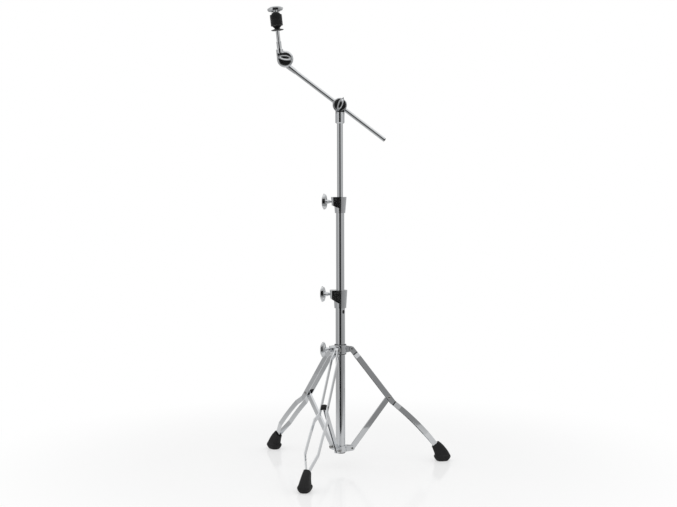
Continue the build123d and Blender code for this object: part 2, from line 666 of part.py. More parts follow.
def boom_frame():
    """Frame on the boom's axis at its clamp, +Z along the boom and +X above it."""
    return Pos(0, BOOM_OFFSET, BOOM_AXIS_Z) * Rot(0, BOOM_TILT - 90, 0)


def saddle(radius, front, low, high):
    """Block along the boom that joins a flat plate at y = front to a round barrel."""
    foot = Pos(0, front - BOOM_OFFSET) * Rectangle(2 * radius, 1)
    section = make_hull(foot.edges() + Circle(radius).edges())
    return Pos(0, 0, low) * extrude(section, high - low)


def boom_socket():
    """Casting on top of the upper tube: a round socket that runs into a flat disc."""
    body = turned((0, SOCKET_BOTTOM), (SOCKET_R - SOCKET_CHAMFER, SOCKET_BOTTOM),
                  (SOCKET_R, SOCKET_BOTTOM + SOCKET_CHAMFER), (SOCKET_R, SOCKET_TOP - 1),
                  (SOCKET_R - 1, SOCKET_TOP), (0, SOCKET_TOP))
    neck = Pos(0, (SOCKET_TOP + BOOM_AXIS_Z) / 2) * Rectangle(NECK_WIDTH, BOOM_AXIS_Z - SOCKET_TOP + 2)
    body += flat_between(neck, HEAD_FRONT + HEAD_ROUND / 2, head_back())
    body += rod(NECK_WIDTH / 2, SOCKET_TOP - 1, NECK_TOP)
    body += facing(0, head_back(), BOOM_AXIS_Z) * round_disc(HEAD_R, HEAD_THICKNESS, HEAD_ROUND)
    body -= rod(UPPER_TUBE_R, SOCKET_BOTTOM - 1, upper_tube_end())
    return body - across(EYE_BOLT_R + TURN_GAP, 0, BOOM_AXIS_Z, 2 * HEAD_R)


def liner_r():
    return BOOM_R + TURN_GAP + LINER_WALL


def boom_clamp():
    """Disc that turns on the socket's disc, with the barrel for the boom behind it."""
    front = head_back() + GAP
    plate = facing(0, front + CLAMP_PLATE, BOOM_AXIS_Z) * round_disc(CLAMP_R, CLAMP_PLATE, HEAD_ROUND, HEAD_ROUND)
    half = BARREL_LENGTH / 2
    barrel = saddle(BARREL_R, front + CLAMP_PLATE - 1, -half, half)
    slot = Pos(0, front + CLAMP_PLATE + 2 * BARREL_R - BOOM_OFFSET, 0)
    slot *= Box(3 * BARREL_R, 4 * BARREL_R, EYE_WIDTH + 2 * GAP)
    barrel -= slot
    body = plate + boom_frame() * barrel
    body -= boom_frame() * rod(liner_r() + TURN_GAP, -BARREL_LENGTH, BARREL_LENGTH)
    return body - across(EYE_BOLT_R, 0, BOOM_AXIS_Z, 2 * HEAD_R)


def boom_eye_bolt():
    """Bolt through the tilter, with an eye that pulls the boom into its barrel."""
    start = -BOOM_OFFSET + liner_r() + 1
    end = -boom_cap_front() + GAP + BOLT_SHARE * WING_DEPTH
    bolt = facing(0, 0, BOOM_AXIS_Z) * rod(EYE_BOLT_R, start, end)
    bolt += boom_frame() * rod(EYE_R, -EYE_WIDTH / 2, EYE_WIDTH / 2)
    return bolt - boom_frame() * rod(liner_r() + TURN_GAP, -EYE_WIDTH, EYE_WIDTH)


def boom_pressure_cap():
    return facing(0, HEAD_FRONT - GAP, BOOM_AXIS_Z) * pressure_cap(EYE_BOLT_R)


def boom_wing_nut():
    return facing(0, boom_cap_front() - GAP, BOOM_AXIS_Z) * Rot(0, 0, BOOM_WING_TURN) * wing_nut(EYE_BOLT_R, NUT_BOSS)


def boom_liner():
    """Nylon tube that the boom slides in, with a rim at each end of the barrel."""
    half = BARREL_LENGTH / 2 + GAP
    liner = rod(liner_r(), -half - LINER_RIM, half + LINER_RIM)
    liner += rod(BARREL_R - 0.6, half, half + LINER_RIM)
    liner += rod(BARREL_R - 0.6, -half - LINER_RIM, -half)
    return boom_frame() * (liner - rod(BOOM_R + TURN_GAP, -BARREL_LENGTH, BARREL_LENGTH))


# ================================================================ boom and top tilter
def boom_rod():
    tube = pipe(BOOM_R, BOOM_R - BOOM_WALL, -BOOM_TAIL, BOOM_REACH - SLEEVE_START + 4)
    return boom_frame() * tube


def boom_end_plug():
    """Domed plug in the free end of the boom, no wider than the boom itself."""
    stem_r = BOOM_R - BOOM_WALL
    dome = Pos(0, 0, -BOOM_TAIL) * scale(Sphere(BOOM_R), by=(1, 1, END_PLUG_DOME / BOOM_R))
    dome &= rod(BOOM_R, -BOOM_TAIL - END_PLUG_DOME, -BOOM_TAIL)
    return boom_frame() * (dome + rod(stem_r, -BOOM_TAIL - 1, -BOOM_TAIL + END_PLUG_LENGTH))


def tilter_centre():
    at = boom_frame() * Pos(TILTER_LIFT, 0, BOOM_REACH)
    return Vector(at.position.X, 0, at.position.Z)


def base_front():
    return ARM_FRONT + ARM_THICKNESS + 2 * GAP + BRAKE_THICKNESS


def tilter_base():
    """Rear half of the top tilter: a disc with a tapered sleeve for the boom."""
    centre = tilter_centre()
    place = facing(centre.X, base_front() + BASE_THICKNESS, centre.Z)
    disc = place * round_disc(BASE_R, BASE_THICKNESS, 0, HEAD_ROUND)
    root = BOOM_REACH - SLEEVE_START
    block = saddle(SLEEVE_ROOT_R, base_front() + BASE_THICKNESS - 1, root, BOOM_REACH - TILTER_BOLT_HEAD_R - 1.5)
    taper = Cone(SLEEVE_TIP_R, SLEEVE_ROOT_R, SLEEVE_LENGTH, align=(Align.CENTER, Align.CENTER, Align.MIN))
    block += Pos(0, 0, root - SLEEVE_LENGTH) * taper
    body = disc + boom_frame() * block
    body -= boom_frame() * rod(BOOM_R, 0, BOOM_REACH - SLEEVE_START + 4)
    return body - across(TILTER_BOLT_R, centre.X, centre.Z, 2 * BASE_R)


def tilter_bolt():
    """Hexagon bolt through the top tilter, its head at the back."""
    centre = tilter_centre()
    head = extrude(RegularPolygon(TILTER_BOLT_HEAD_R, 6), TILTER_BOLT_HEAD)
    back = base_front() + BASE_THICKNESS
    bolt = facing(centre.X, back + TILTER_BOLT_HEAD, centre.Z) * head
    end = arm_cap_front() - GAP - BOLT_SHARE * WING_DEPTH
    return bolt + facing(centre.X, back, centre.Z) * rod(TILTER_BOLT_R, -1, back - end)


def tilter_brake():
    """Friction disc between the halves of the top tilter."""
    centre = tilter_centre()
    disc = facing(centre.X, base_front(), centre.Z) * rod(BRAKE_R, 0, BRAKE_THICKNESS)
    return disc - across(TILTER_BOLT_R, centre.X, centre.Z, 2 * BRAKE_R)


def arm_cap_front():
    return ARM_FRONT - GAP - CAP_THICKNESS


def tilter_pressure_cap():
    centre = tilter_centre()
    return facing(centre.X, ARM_FRONT - GAP, centre.Z) * pressure_cap(TILTER_BOLT_R)


def tilter_wing_nut():
    centre = tilter_centre()
    place = facing(centre.X, arm_cap_front() - GAP, centre.Z)
    return place * Rot(0, 0, TILTER_WING_TURN) * wing_nut(TILTER_BOLT_R, NUT_BOSS)


# ================================================================ cymbal rod and what is on it
def rod_frame():
    """Frame on the cymbal rod's axis, level with the tilter axis, +Z up the rod."""
    centre = tilter_centre()
    middle = ARM_FRONT + ARM_THICKNESS / 2
    return Pos(centre.X, middle, centre.Z) * Rot(0, -ROD_LEAN, 0) * Pos(-ROD_OFFSET, 0, 0)


def tilter_arm():
    """Front half of the top tilter: a disc that runs tangent into the boss of the cymbal rod."""
    half = ARM_THICKNESS / 2
    disc = facing(ROD_OFFSET, half, 0) * round_disc(ARM_R, ARM_THICKNESS, ARM_FRONT_ROUND, ARM_ROUND)
    cheek = Pos(0, 0, BOSS_START / 2) * Box(2 * BOSS_R, ARM_THICKNESS, BOSS_START)
    cheek = fillet(cheek.edges().filter_by(Axis.Z), ARM_ROUND)
    boss = turned((0, BOSS_START - 1), (half, BOSS_START - 1), (BOSS_R, BOSS_START + 1), (BOSS_R, BOSS_END),
                  (BOSS_TIP_R, BOSS_TIP), (0, BOSS_TIP))
    body = disc + cheek + boss - rod(ROD_ROOT_R, BOSS_START - 4, BOSS_TIP + 1)
    hole = Pos(ROD_OFFSET, 0, 0) * Rot(90, 0, 0) * Cylinder(TILTER_BOLT_R + TURN_GAP, 2 * ARM_THICKNESS)
    return rod_frame() * (body - hole)


def felts_top():
    return SEAT_TOP + 2 * FELT_THICKNESS


def dome_bottom():
    return felts_top() + FELT_PLAY


def nut_bottom():
    return dome_bottom() + DOME_HEIGHT + GAP


def cymbal_rod():
    """Stepped steel rod, threaded from the seat upwards."""
    seat = SEAT_BOTTOM + SEAT_HOLLOW
    end = nut_bottom() + BOLT_SHARE * WING_DEPTH
    return rod_frame() * turned((0, BOSS_START - 4), (ROD_ROOT_R, BOSS_START - 4), (ROD_ROOT_R, ROD_SHOULDER - 1),
                                (ROD_R, ROD_SHOULDER), (ROD_R, seat), (THREAD_R, seat), (THREAD_R, end), (0, end))


def cymbal_seat():
    """Black seat under the felts: a wide skirt, a waist, a bowl and the sleeve through the felts."""
    inner = THREAD_R
    under = SEAT_BOTTOM + SEAT_HOLLOW
    top = felts_top() - SLEEVE_DROP
    return rod_frame() * turned(
        (inner, under), (ROD_R, under), (SEAT_SKIRT_R - 4, SEAT_BOTTOM + SEAT_EDGE), (SEAT_SKIRT_R, SEAT_BOTTOM),
        (SEAT_SKIRT_R, SEAT_BOTTOM + SEAT_EDGE), (SEAT_NECK_R + 2.6, SEAT_NECK - 1.4), (SEAT_NECK_R, SEAT_NECK),
        (SEAT_NECK_R + 0.8, SEAT_NECK + 1.8), (SEAT_TOP_R, SEAT_TOP - 2.2), (SEAT_TOP_R, SEAT_TOP),
        (SLEEVE_R, SEAT_TOP), (SLEEVE_R, top), (inner, top))


def felt(bottom):
    ring = pipe(FELT_R, SLEEVE_R + FELT_PLAY, bottom, bottom + FELT_THICKNESS)
    return rod_frame() * ring


def nut_dome():
    """Black dome under the wing nut, which rides up and down with it."""
    inner = THREAD_R + TURN_GAP
    low = dome_bottom()
    outline = [(DOME_R - inset, low + height) for inset, height in DOME_STEPS]
    return rod_frame() * turned((inner, low), *outline, (NUT_HUB_R, low + DOME_HEIGHT), (inner, low + DOME_HEIGHT))


def top_wing_nut():
    return rod_frame() * Pos(0, 0, nut_bottom()) * wing_nut(THREAD_R, 0)


# ================================================================ the whole stand
def save(name, shape):
    """Write one node; a list is a group of separate solids."""
    if isinstance(shape, list):
        shape = Compound(children=shape)
    export_step(shape, f"parts/{name}.step")


def save_tripod():
    save("lower_tube", lower_tube())
    save("tube_plug", tube_plug())
    save("leg_bracket", leg_bracket())
    save("bracket_pins", bracket_pins())
    save("leg_collar", leg_collar())
    save("collar_liner", collar_liner())
    save("collar_pins", collar_pins())
    strips = leg_strips()
    foot = rubber_foot(strips)
    spacers = joint_spacers()
    for number, azimuth in enumerate(LEG_AZIMUTHS, start=1):
        save(f"leg_{number}_strips", [spin(strip, azimuth) for strip in strips])
        save(f"leg_{number}_foot", spin(foot, azimuth))
        save(f"leg_{number}_rivet", spin(joint_rivet(), azimuth))
        save(f"leg_{number}_spacers", [spin(spacer, azimuth) for spacer in spacers])
        save(f"brace_{number}", spin(brace(), azimuth))
        save(f"brace_{number}_insert", spin(brace_insert(), azimuth))


def save_column():
    save("lower_clamp", lower_clamp())
    save("lower_bushing", lower_bushing())
    save("middle_glide", glide(MIDDLE_TUBE_R, LOWER_TUBE_R, MIDDLE_TUBE_BOTTOM))
    save("middle_tube", middle_tube())
    save("upper_clamp", upper_clamp())
    save("upper_bushing", upper_bushing())
    save("upper_glide", glide(UPPER_TUBE_R, MIDDLE_TUBE_R, UPPER_TUBE_BOTTOM))
    save("upper_tube", upper_tube())
    lower_seat = LOWER_TUBE_R - TUBE_WALL
    upper_seat = MIDDLE_TUBE_R - TUBE_WALL
    lower_z = LOWER_CLAMP_TOP - LOWER_BOLT_DROP
    upper_z = UPPER_CLAMP_TOP - UPPER_BOLT_DROP
    save("collar_pad", pad(COLLAR_BOLT_AZIMUTH, COLLAR_PIN_Z, LOWER_TUBE_R, BOLT_R))
    save("collar_wing_bolt", wing_bolt(COLLAR_BOLT_AZIMUTH, COLLAR_PIN_Z, LOWER_TUBE_R, COLLAR_WING_START, BOLT_R))
    save("lower_pad", pad(CLAMP_AZIMUTH, lower_z, lower_seat, BOLT_R))
    save("lower_wing_bolt", wing_bolt(CLAMP_AZIMUTH, lower_z, lower_seat, LOWER_WING_START, BOLT_R))
    save("upper_pad", pad(CLAMP_AZIMUTH, upper_z, upper_seat, UPPER_BOLT_R))
    save("upper_wing_bolt", wing_bolt(CLAMP_AZIMUTH, upper_z, upper_seat, UPPER_WING_START, UPPER_BOLT_R))


def save_boom():
    save("boom_socket", boom_socket())
    save("boom_clamp", boom_clamp())
    save("boom_eye_bolt", boom_eye_bolt())
    save("boom_pressure_cap", boom_pressure_cap())
    save("boom_wing_nut", boom_wing_nut())
    save("boom_liner", boom_liner())
    save("boom_rod", boom_rod())
    save("boom_end_plug", boom_end_plug())
    save("tilter_base", tilter_base())
    save("tilter_bolt", tilter_bolt())
    save("tilter_brake", tilter_brake())
    save("tilter_arm", tilter_arm())
    save("tilter_pressure_cap", tilter_pressure_cap())
    save("tilter_wing_nut", tilter_wing_nut())
    save("cymbal_rod", cymbal_rod())
    save("cymbal_seat", cymbal_seat())
    save("lower_felt", felt(SEAT_TOP))
    save("upper_felt", felt(SEAT_TOP + FELT_THICKNESS))
    save("nut_dome", nut_dome())
    save("top_wing_nut", top_wing_nut())


os.makedirs("parts", exist_ok=True)
save_tripod()
save_column()
save_boom()
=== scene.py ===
"""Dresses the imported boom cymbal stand: plated steel, nylon, rubber and felt, with a stage and a camera."""
import json
import math

import bpy
from bpy.props import FloatProperty, FloatVectorProperty, IntProperty, PointerProperty
from mathutils import Matrix, Vector


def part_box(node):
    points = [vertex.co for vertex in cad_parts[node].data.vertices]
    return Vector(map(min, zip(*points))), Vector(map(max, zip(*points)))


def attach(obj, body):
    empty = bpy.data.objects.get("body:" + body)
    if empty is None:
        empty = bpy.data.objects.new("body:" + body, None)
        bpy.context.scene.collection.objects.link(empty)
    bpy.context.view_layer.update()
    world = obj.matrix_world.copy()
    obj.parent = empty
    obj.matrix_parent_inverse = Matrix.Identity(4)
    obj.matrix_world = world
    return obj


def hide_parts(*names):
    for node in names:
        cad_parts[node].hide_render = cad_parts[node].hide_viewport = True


bl_info = {
    "name": "Boom cymbal stand",
    "version": (1, 0, 0),
    "blender": (4, 5, 0),
    "location": "3D View > Sidebar > Stand",
    "description": "Builds the visible pieces of a folding boom cymbal stand round its packed frame",
    "category": "Object",
}

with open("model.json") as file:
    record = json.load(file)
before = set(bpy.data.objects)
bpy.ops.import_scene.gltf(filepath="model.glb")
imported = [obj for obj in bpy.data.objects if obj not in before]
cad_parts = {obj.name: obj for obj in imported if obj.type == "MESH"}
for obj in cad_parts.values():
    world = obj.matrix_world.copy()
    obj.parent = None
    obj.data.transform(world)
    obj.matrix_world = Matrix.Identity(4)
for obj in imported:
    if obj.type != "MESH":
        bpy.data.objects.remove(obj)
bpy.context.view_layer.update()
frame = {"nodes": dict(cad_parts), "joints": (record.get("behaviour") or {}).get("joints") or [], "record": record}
MM = 0.001

JOINTS = {joint["name"]: joint for joint in frame["joints"]}
BODY_OF = {node: body for body, nodes in frame["record"]["behaviour"]["bodies"].items() for node in nodes}
SLOT_OF = {part["node"]: part["material_slot"] for part in frame["record"]["subparts"]}

# Lengths are in mm and angles in degrees, unless a comment says otherwise.
LEG_AZIMUTHS = (9, 129, 249)
FACE_GAP = 0.15                 # play between flat faces that move on each other
WELD = 0.01                     # vertices closer than this are merged
FLAT_ANGLE = 0.8                # facets that turn less than this are one flat face
SHARP_ANGLE = 34                # edges that turn more than this are rounded

TUBE_EDGE = 0.15
TURNED_EDGE = 0.3
FINE_EDGE = 0.4                 # edges of the tilters' small parts

BEND_ANGLES = (9, 34)           # how far a strip's bends turn, at least and at most
BEND_WIDTH = 10                 # the least length of such a bend

PIN_R = 3.0
PIN_HEAD_R = 4.6
PIN_HEAD_LIFT = 1.6
JOINT_GRIP = 20.6               # from head to head: leg joint, bracket and collar
BRACKET_GRIP = 11.4
COLLAR_GRIP = 10.2

WING_SPAN = 42.5
WING_WIDTH = 13.5
WING_DEPTH = 15.5
WING_HUB_R = 6.4
WING_NECK = 7.0
WING_DISH_RUN = 0.3             # from the rim to the bottom of the hollow
WING_SECTIONS = (               # distance along the wing, sideways place, half width, half depth
    (4.0, 0.0, 6.4, 7.8),
    (10.0, -0.4, 5.4, 7.4),
    (15.5, -1.1, 3.4, 6.2),
    (19.5, -1.9, 1.4, 4.3),
    (21.2, -2.3, 0.5, 2.6),
)
WING_BOLTS = (                  # name, radius of the thread
    ("collar", 4.0),
    ("lower", 4.0),
    ("upper", 3.2),
)
WING_NUTS = (                   # name, height of the round boss, the way the wing points
    ("boom", 2.5, 71),
    ("tilter", 2.5, -4),
    ("top", 0, 0),
)
NECK_FOOT = ((0.9, -WING_NECK), (1.1, 0.8 - WING_NECK))         # distance from the thread, and height
NECK_HUB = ((WING_HUB_R - 0.6, -0.8), (WING_HUB_R, 0.6), (WING_HUB_R, WING_DEPTH / 2))
BOSS_FOOT = ((4.2, 0.02), (WING_HUB_R - 0.4, 0.02), (WING_HUB_R, 0.5))
BOSS_HUB = ((WING_HUB_R, 0.7 * WING_DEPTH), (WING_HUB_R - 1.2, 0.78 * WING_DEPTH))      # heights above the boss
SHANK_RELIEF = 1.0              # end of a bolt's thread short of the end of its solid
SHANK_LAP = 0.5                 # how far the thread goes up into the neck

PITCH = 1.25                    # of the screw threads
THREAD_DEPTH = 0.54 * PITCH
THREAD_CREST = (0.4 * PITCH, 0.6 * PITCH)

CAP_THICKNESS = 5.2
CAP_PROFILE = ((4.1, 0), (16, 0), (16, 2.5), (15, 3.3), (12.8, 3.3), (12.4, 4.2), (9.4, 4.2), (8.8, 5.2), (4.1, 5.2))

SEAT_PROFILE = (                # radius, and height from the bottom of the felts
    (4.0, -10.2), (5.0, -10.2), (12.5, -10.8), (16.5, -11.8), (16.5, -10.8), (12.4, -9.8), (9.4, -8.8),
    (7.6, -8.0), (7.1, -7.0), (8.2, -5.2), (10.2, -3.4), (11.3, -2.0), (11.5, 0.0), (6.2, 0.0),
)
SLEEVE_RADII = (6.2, 4.0)
SLEEVE_DROP = 1.5               # end of the seat's sleeve below the top of the felts
DOME_HEIGHT = 6.0
DOME_FOOT = ((4.1, 0.0), (11.3, 0.0), (11.5, 0.3), (11.5, 1.4))
DOME_SHOULDER = ((7.3, 1.4), 4.2, 10, 70, 5)                    # an arc's centre, radius, angles and steps
DOME_CROWN = ((7.4, 5.7), (6.6, 6.0), (4.1, 6.0))

FELT_R = 16.0
FELT_THICKNESS = 14.5
FELT_PLAY = 0.3
FELT_RADII = (6.5, 10.0)        # of the hole, and of a ring that keeps the flat faces flat
FELT_SWELL = 0.15               # how much the sides bulge between the rims
FELT_STEPS = 6
NAP_SIZE = 2.2
NAP_DETAIL = 3
NAP_HEIGHT = 0.5
NAP_LEVEL = 0.62                # share of the nap that lies below the surface

BOOT_CORNER = 0.42              # rounding of the boot's outline, as a share of its width
BOOT_LEVELS = (                 # x, height, slope, length and width, from the sole to the bottom of the mouth
    (287.0, 0.0, 0, 30.0, 22.0),
    (287.0, 4.8, 0, 40.0, 29.6),
    (287.0, 11.0, 0, 46.0, 34.0),
    (287.0, 15.0, 0, 45.0, 33.0),
    (287.0, 17.5, 4, 41.0, 28.2),
    (283.0, 26.0, 13, 37.0, 24.4),
    (276.0, 37.0, 26, 31.5, 20.4),
    (267.3, 47.2, 38, 24.6, 17.0),
    (267.3, 47.2, 38, 20.4, 13.0),
    (269.5, 43.4, 38, 19.0, 11.5),
)

HEADING = -3.0                  # how far the camera's right hand is turned from +X
FRONT = Vector((math.sin(math.radians(HEADING)), -math.cos(math.radians(HEADING)), 0))
RIGHT = Vector((math.cos(math.radians(HEADING)), math.sin(math.radians(HEADING)), 0))
CAMERA_DISTANCE = 3.020         # the camera's place is in metres
CAMERA_ASIDE = -0.0045
CAMERA_HEIGHT = 0.7242
CAMERA_PITCH = 2.807
CAMERA_ROLL = 0.13
CAMERA_REACH = 20
LENS = 59.876
SENSOR = 36

PAPER_ROUGHNESS = 0.11
PAPER_GLOSS = 0.8
PAPER_FADE = (420.0, 1150.0)    # distances from the stand between which the paper fades into white
PAPER_HAZE = 0.45               # how white it is already beside the stand
PAPER_GLOW = 0.50               # brightness of the far paper in reflections
PAPER_MIRROR_EDGE = (425, 450)  # how far in front the chrome still sees the paper

MATT_LIGHT = 1.12               # light on matt surfaces
WALLS_ABOVE = (                 # angle to the right of the camera as the stand sees it, and brightness
    (-180, 0.55),
    (-120, 0.50),
    (-75, 0.50),
    (-45, 0.72),
    (-27, 0.66),
    (-23.5, 0.01),
    (18.5, 0.01),
    (21.5, 0.42),
    (30, 0.42),
    (45, 0.78),
    (100, 0.55),
    (140, 0.55),
    (180, 0.55),
)
WALLS_BELOW = (
    (-180, 0.55),
    (-120, 0.46),
    (-75, 0.40),
    (-45, 0.58),
    (-27, 0.50),
    (-23.5, 0.01),
    (18.5, 0.01),
    (21.5, 0.30),
    (60, 0.34),
    (100, 0.42),
    (140, 0.52),
    (180, 0.55),
)
EYE_LINE = (-0.17, 0.09)        # sines of the elevations where one row of walls passes into the other
LAYERS = (                      # sines of the elevations between which a brightness takes over, and the brightness
    (0.24, 0.30, 0.55),
    (0.42, 0.55, 0.95),
    (-0.32, -0.40, 0.35),
)

PLATINGS = {                    # material, colour, least and most roughness, waviness across and high, smears across
    "chrome_tube": ("chrome_on_drawn_tube", "plating", 0.05, 0.12, 18.0, 0.012, 40.0),
    "chrome_strip": ("chrome_on_flat_strip", "plating", 0.03, 0.10, 14.0, 0.015, 30.0),
    "chrome_casting": ("chrome_on_die_casting", "plating", 0.08, 0.2, 3.0, 0.03, 9.0),
    "chrome_wing": ("chrome_on_cast_wing", "plating", 0.07, 0.18, 4.0, 0.04, 7.0),
    "steel_rivet": ("nickelled_steel", "fasteners", 0.16, 0.28, 2.0, 0.02, 5.0),
}
MOULDINGS = {                   # material, colour, roughness, grain across and high, dust
    "black_nylon": ("moulded_nylon", "nylon", 0.45, 0.7, 0.05, 0.004),
    "black_rubber": ("moulded_rubber", "rubber", 0.62, 1.1, 0.12, 0.008),
    "black_cap": ("satin_moulded_cap", "nylon", 0.32, 0.6, 0.03, 0.003),
}

FINISHES = {}                   # material of each finish
DONE = set()                    # CAD nodes that a piece stands for


# ---------------------------------------------------------------- small tools
def linear(hex_colour):
    """sRGB hex such as "8090A0" to linear RGBA."""
    values = [int(hex_colour[i:i + 2], 16) / 255 for i in (0, 2, 4)]
    return tuple(v / 12.92 if v <= 0.04045 else ((v + 0.055) / 1.055) ** 2.4 for v in values) + (1.0,)


def clear_selection():
    bpy.ops.object.select_all(action="DESELECT")


def take(obj):
    """Make obj the only selected object, and the active one."""
    clear_selection()
    obj.select_set(True)
    bpy.context.view_layer.objects.active = obj
    return obj


def edit(kind="VERT"):
    bpy.ops.object.mode_set(mode="EDIT")
    bpy.ops.mesh.select_mode(type=kind)


def leave():
    bpy.ops.object.mode_set(mode="OBJECT")


def choose(obj, kind, test):
    """Select, in code, the faces or the edges that pass a test, then be in edit mode."""
    edit(kind)
    bpy.ops.mesh.select_all(action="DESELECT")
    leave()
    for item in obj.data.polygons if kind == "FACE" else obj.data.edges:
        item.select = test(item)
    bpy.ops.object.mode_set(mode="EDIT")


def choose_bends(obj):
    """Select the slight bends that run across a strip, then be in edit mode."""
    sides = {}
    for polygon in obj.data.polygons:
        for key in polygon.edge_keys:
            sides.setdefault(key, []).append(polygon.normal.copy())

    def bent(line):
        normals = sides[line.key]
        angle = math.degrees(normals[0].angle(normals[-1]))
        start, end = (obj.data.vertices[index].co for index in line.vertices)
        return BEND_ANGLES[0] < angle < BEND_ANGLES[1] and (end - start).length > BEND_WIDTH * MM

    choose(obj, "EDGE", bent)


def grow(move, size, centre):
    """Extrude what is selected, move it and scale it about a centre."""
    bpy.ops.mesh.extrude_region_move(TRANSFORM_OT_translate={"value": move})
    if tuple(size) != (1, 1, 1):
        bpy.ops.transform.resize(value=size, center_override=centre)


def modifier(obj, kind, **settings):
    """Add a modifier and apply it."""
    take(obj)
    added = obj.modifiers.new(kind.title(), kind)
    for key, value in settings.items():
        setattr(added, key, value)
    bpy.ops.object.modifier_apply(modifier=added.name)


def soften(obj, width_mm, segments=2, angle=SHARP_ANGLE):
    """Round the sharp edges and shade the rest smooth."""
    if width_mm:
        modifier(obj, "BEVEL", width=width_mm * MM, segments=segments, limit_method="ANGLE",
                 angle_limit=math.radians(angle), use_clamp_overlap=True)
    take(obj)
    bpy.ops.object.shade_smooth_by_angle(angle=math.radians(angle))


def bake_place(obj):
    """Bring a piece's place, turn and size into its mesh, so that its object is at the origin, unturned."""
    take(obj)
    bpy.ops.object.transform_apply(location=True, rotation=True, scale=True)
    return obj


def place(obj, matrix):
    """Put a piece where it belongs."""
    obj.matrix_world = matrix
    return bake_place(obj)


def mend(obj):
    """Merge doubles and point every face outwards."""
    take(obj)
    edit()
    bpy.ops.mesh.select_all(action="SELECT")
    bpy.ops.mesh.remove_doubles(threshold=WELD * MM)
    bpy.ops.mesh.normals_make_consistent(inside=False)
    leave()


def along(position, direction, up=(0, 0, 1)):
    """Matrix whose +Z runs along direction from position, with +X as near to up as it can be."""
    z = Vector(direction).normalized()
    x = (Vector(up) - z * Vector(up).dot(z)).normalized()
    axes = Matrix((x, z.cross(x), z)).transposed().to_4x4()
    return Matrix.Translation(Vector(position)) @ axes


def coat(obj, finish):
    """Give a piece one material and no other."""
    obj.data.materials.clear()
    obj.data.materials.append(FINISHES[finish])


def settle(obj, node, made, finish=None):
    """Name a piece after its CAD node and how it is made, give it its finish and let it stand for the node."""
    obj.name = obj.data.name = f"{node}_{made}"
    coat(obj, finish or SLOT_OF[node])
    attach(obj, BODY_OF[node])
    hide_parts(node)
    DONE.add(node)
    return obj


def joined(parts):
    """Join separate solids into one piece."""
    clear_selection()
    for part in parts:
        part.select_set(True)
    bpy.context.view_layer.objects.active = parts[0]
    bpy.ops.object.join()
    return parts[0]


def copy_of(obj):
    """A copy with its own mesh."""
    twin = obj.copy()
    twin.data = obj.data.copy()
    bpy.context.scene.collection.objects.link(twin)
    return twin


# ---------------------------------------------------------------- sizes and colours that a user may change
class StandSizes(bpy.types.PropertyGroup):
    cast_edge: FloatProperty(name="Casting edge", description="Rounding of the edges of the plated castings, in mm",
                             default=0.8, min=0.1, max=2.0)
    strip_edge: FloatProperty(name="Strip edge", description="Rounding of the edges of the flat strips, in mm",
                              default=0.35, min=0.1, max=1.0)
    strip_bend: FloatProperty(name="Strip bend", description="Length of the rounding of a strip's bends, in mm",
                              default=2.4, min=0.2, max=3.0)
    moulded_edge: FloatProperty(name="Moulded edge", description="Rounding of the edges of plastic parts, in mm",
                                default=0.3, min=0.1, max=1.0)
    felt_edge: FloatProperty(name="Felt edge", description="Rounding of the rims of the felts, in mm",
                             default=0.7, min=0.3, max=4.0)
    wing_rim: FloatProperty(name="Wing rim", description="Width of the raised rim round a wing, in mm",
                            default=1.5, min=0.5, max=3.0)
    wing_dish: FloatProperty(name="Wing dish", description="Depth of the hollow in the end of a wing, in mm",
                             default=1.6, min=0.2, max=4.0)
    sides: IntProperty(name="Sides", description="Sides of a turned part", default=72, min=24, max=128)
    paper_reach: FloatProperty(name="Paper reach", description="Half the width of the white floor",
                               default=1.6, min=0.8, max=4.0, unit="LENGTH")


class StandColours(bpy.types.PropertyGroup):
    plating: FloatVectorProperty(name="Plating", description="Bright chrome", subtype="COLOR", size=4,
                                 default=linear("DADCDE"), min=0, max=1)
    fasteners: FloatVectorProperty(name="Fasteners", description="Nickelled rivets and bolts", subtype="COLOR", size=4,
                                   default=linear("9C9B99"), min=0, max=1)
    nylon: FloatVectorProperty(name="Nylon", description="Moulded black nylon", subtype="COLOR", size=4,
                               default=linear("111112"), min=0, max=1)
    rubber: FloatVectorProperty(name="Rubber", description="Moulded black rubber", subtype="COLOR", size=4,
                                default=linear("111112"), min=0, max=1)
    felt: FloatVectorProperty(name="Felt", description="Pressed black wool", subtype="COLOR", size=4,
                              default=linear("101011"), min=0, max=1)
    paper: FloatVectorProperty(name="Paper", description="Studio floor", subtype="COLOR", size=4,
                               default=linear("F7F7F7"), min=0, max=1)


# ---------------------------------------------------------------- materials
def add(tree, kind, settings=None, links=None):
    """Add a node, set its values and wire its inputs."""
    made = tree.nodes.new(kind)
    for key, value in (settings or {}).items():
        if isinstance(key, str) and hasattr(made, key):
            setattr(made, key, value)
        else:
            made.inputs[key].default_value = value
    for key, source in (links or {}).items():
        tree.links.new(source, made.inputs[key])
    return made


def blank(name):
    """A new node material with its output, and the object coordinates in millimetres."""
    made = bpy.data.materials.new(name)
    made.use_nodes = True
    tree = made.node_tree
    tree.nodes.clear()
    point = add(tree, "ShaderNodeTexCoord")
    in_mm = add(tree, "ShaderNodeVectorMath", {"operation": "SCALE", "Scale": 1 / MM}, {0: point.outputs["Object"]})
    return made, tree, in_mm.outputs[0]


def close(tree, shader):
    add(tree, "ShaderNodeOutputMaterial", links={"Surface": shader.outputs[0]})


def toned(colour, share=1.0, dust=0.0):
    """A colour made darker or lighter, with dust on it."""
    return tuple(share * value + dust for value in colour[:3]) + (1.0,)


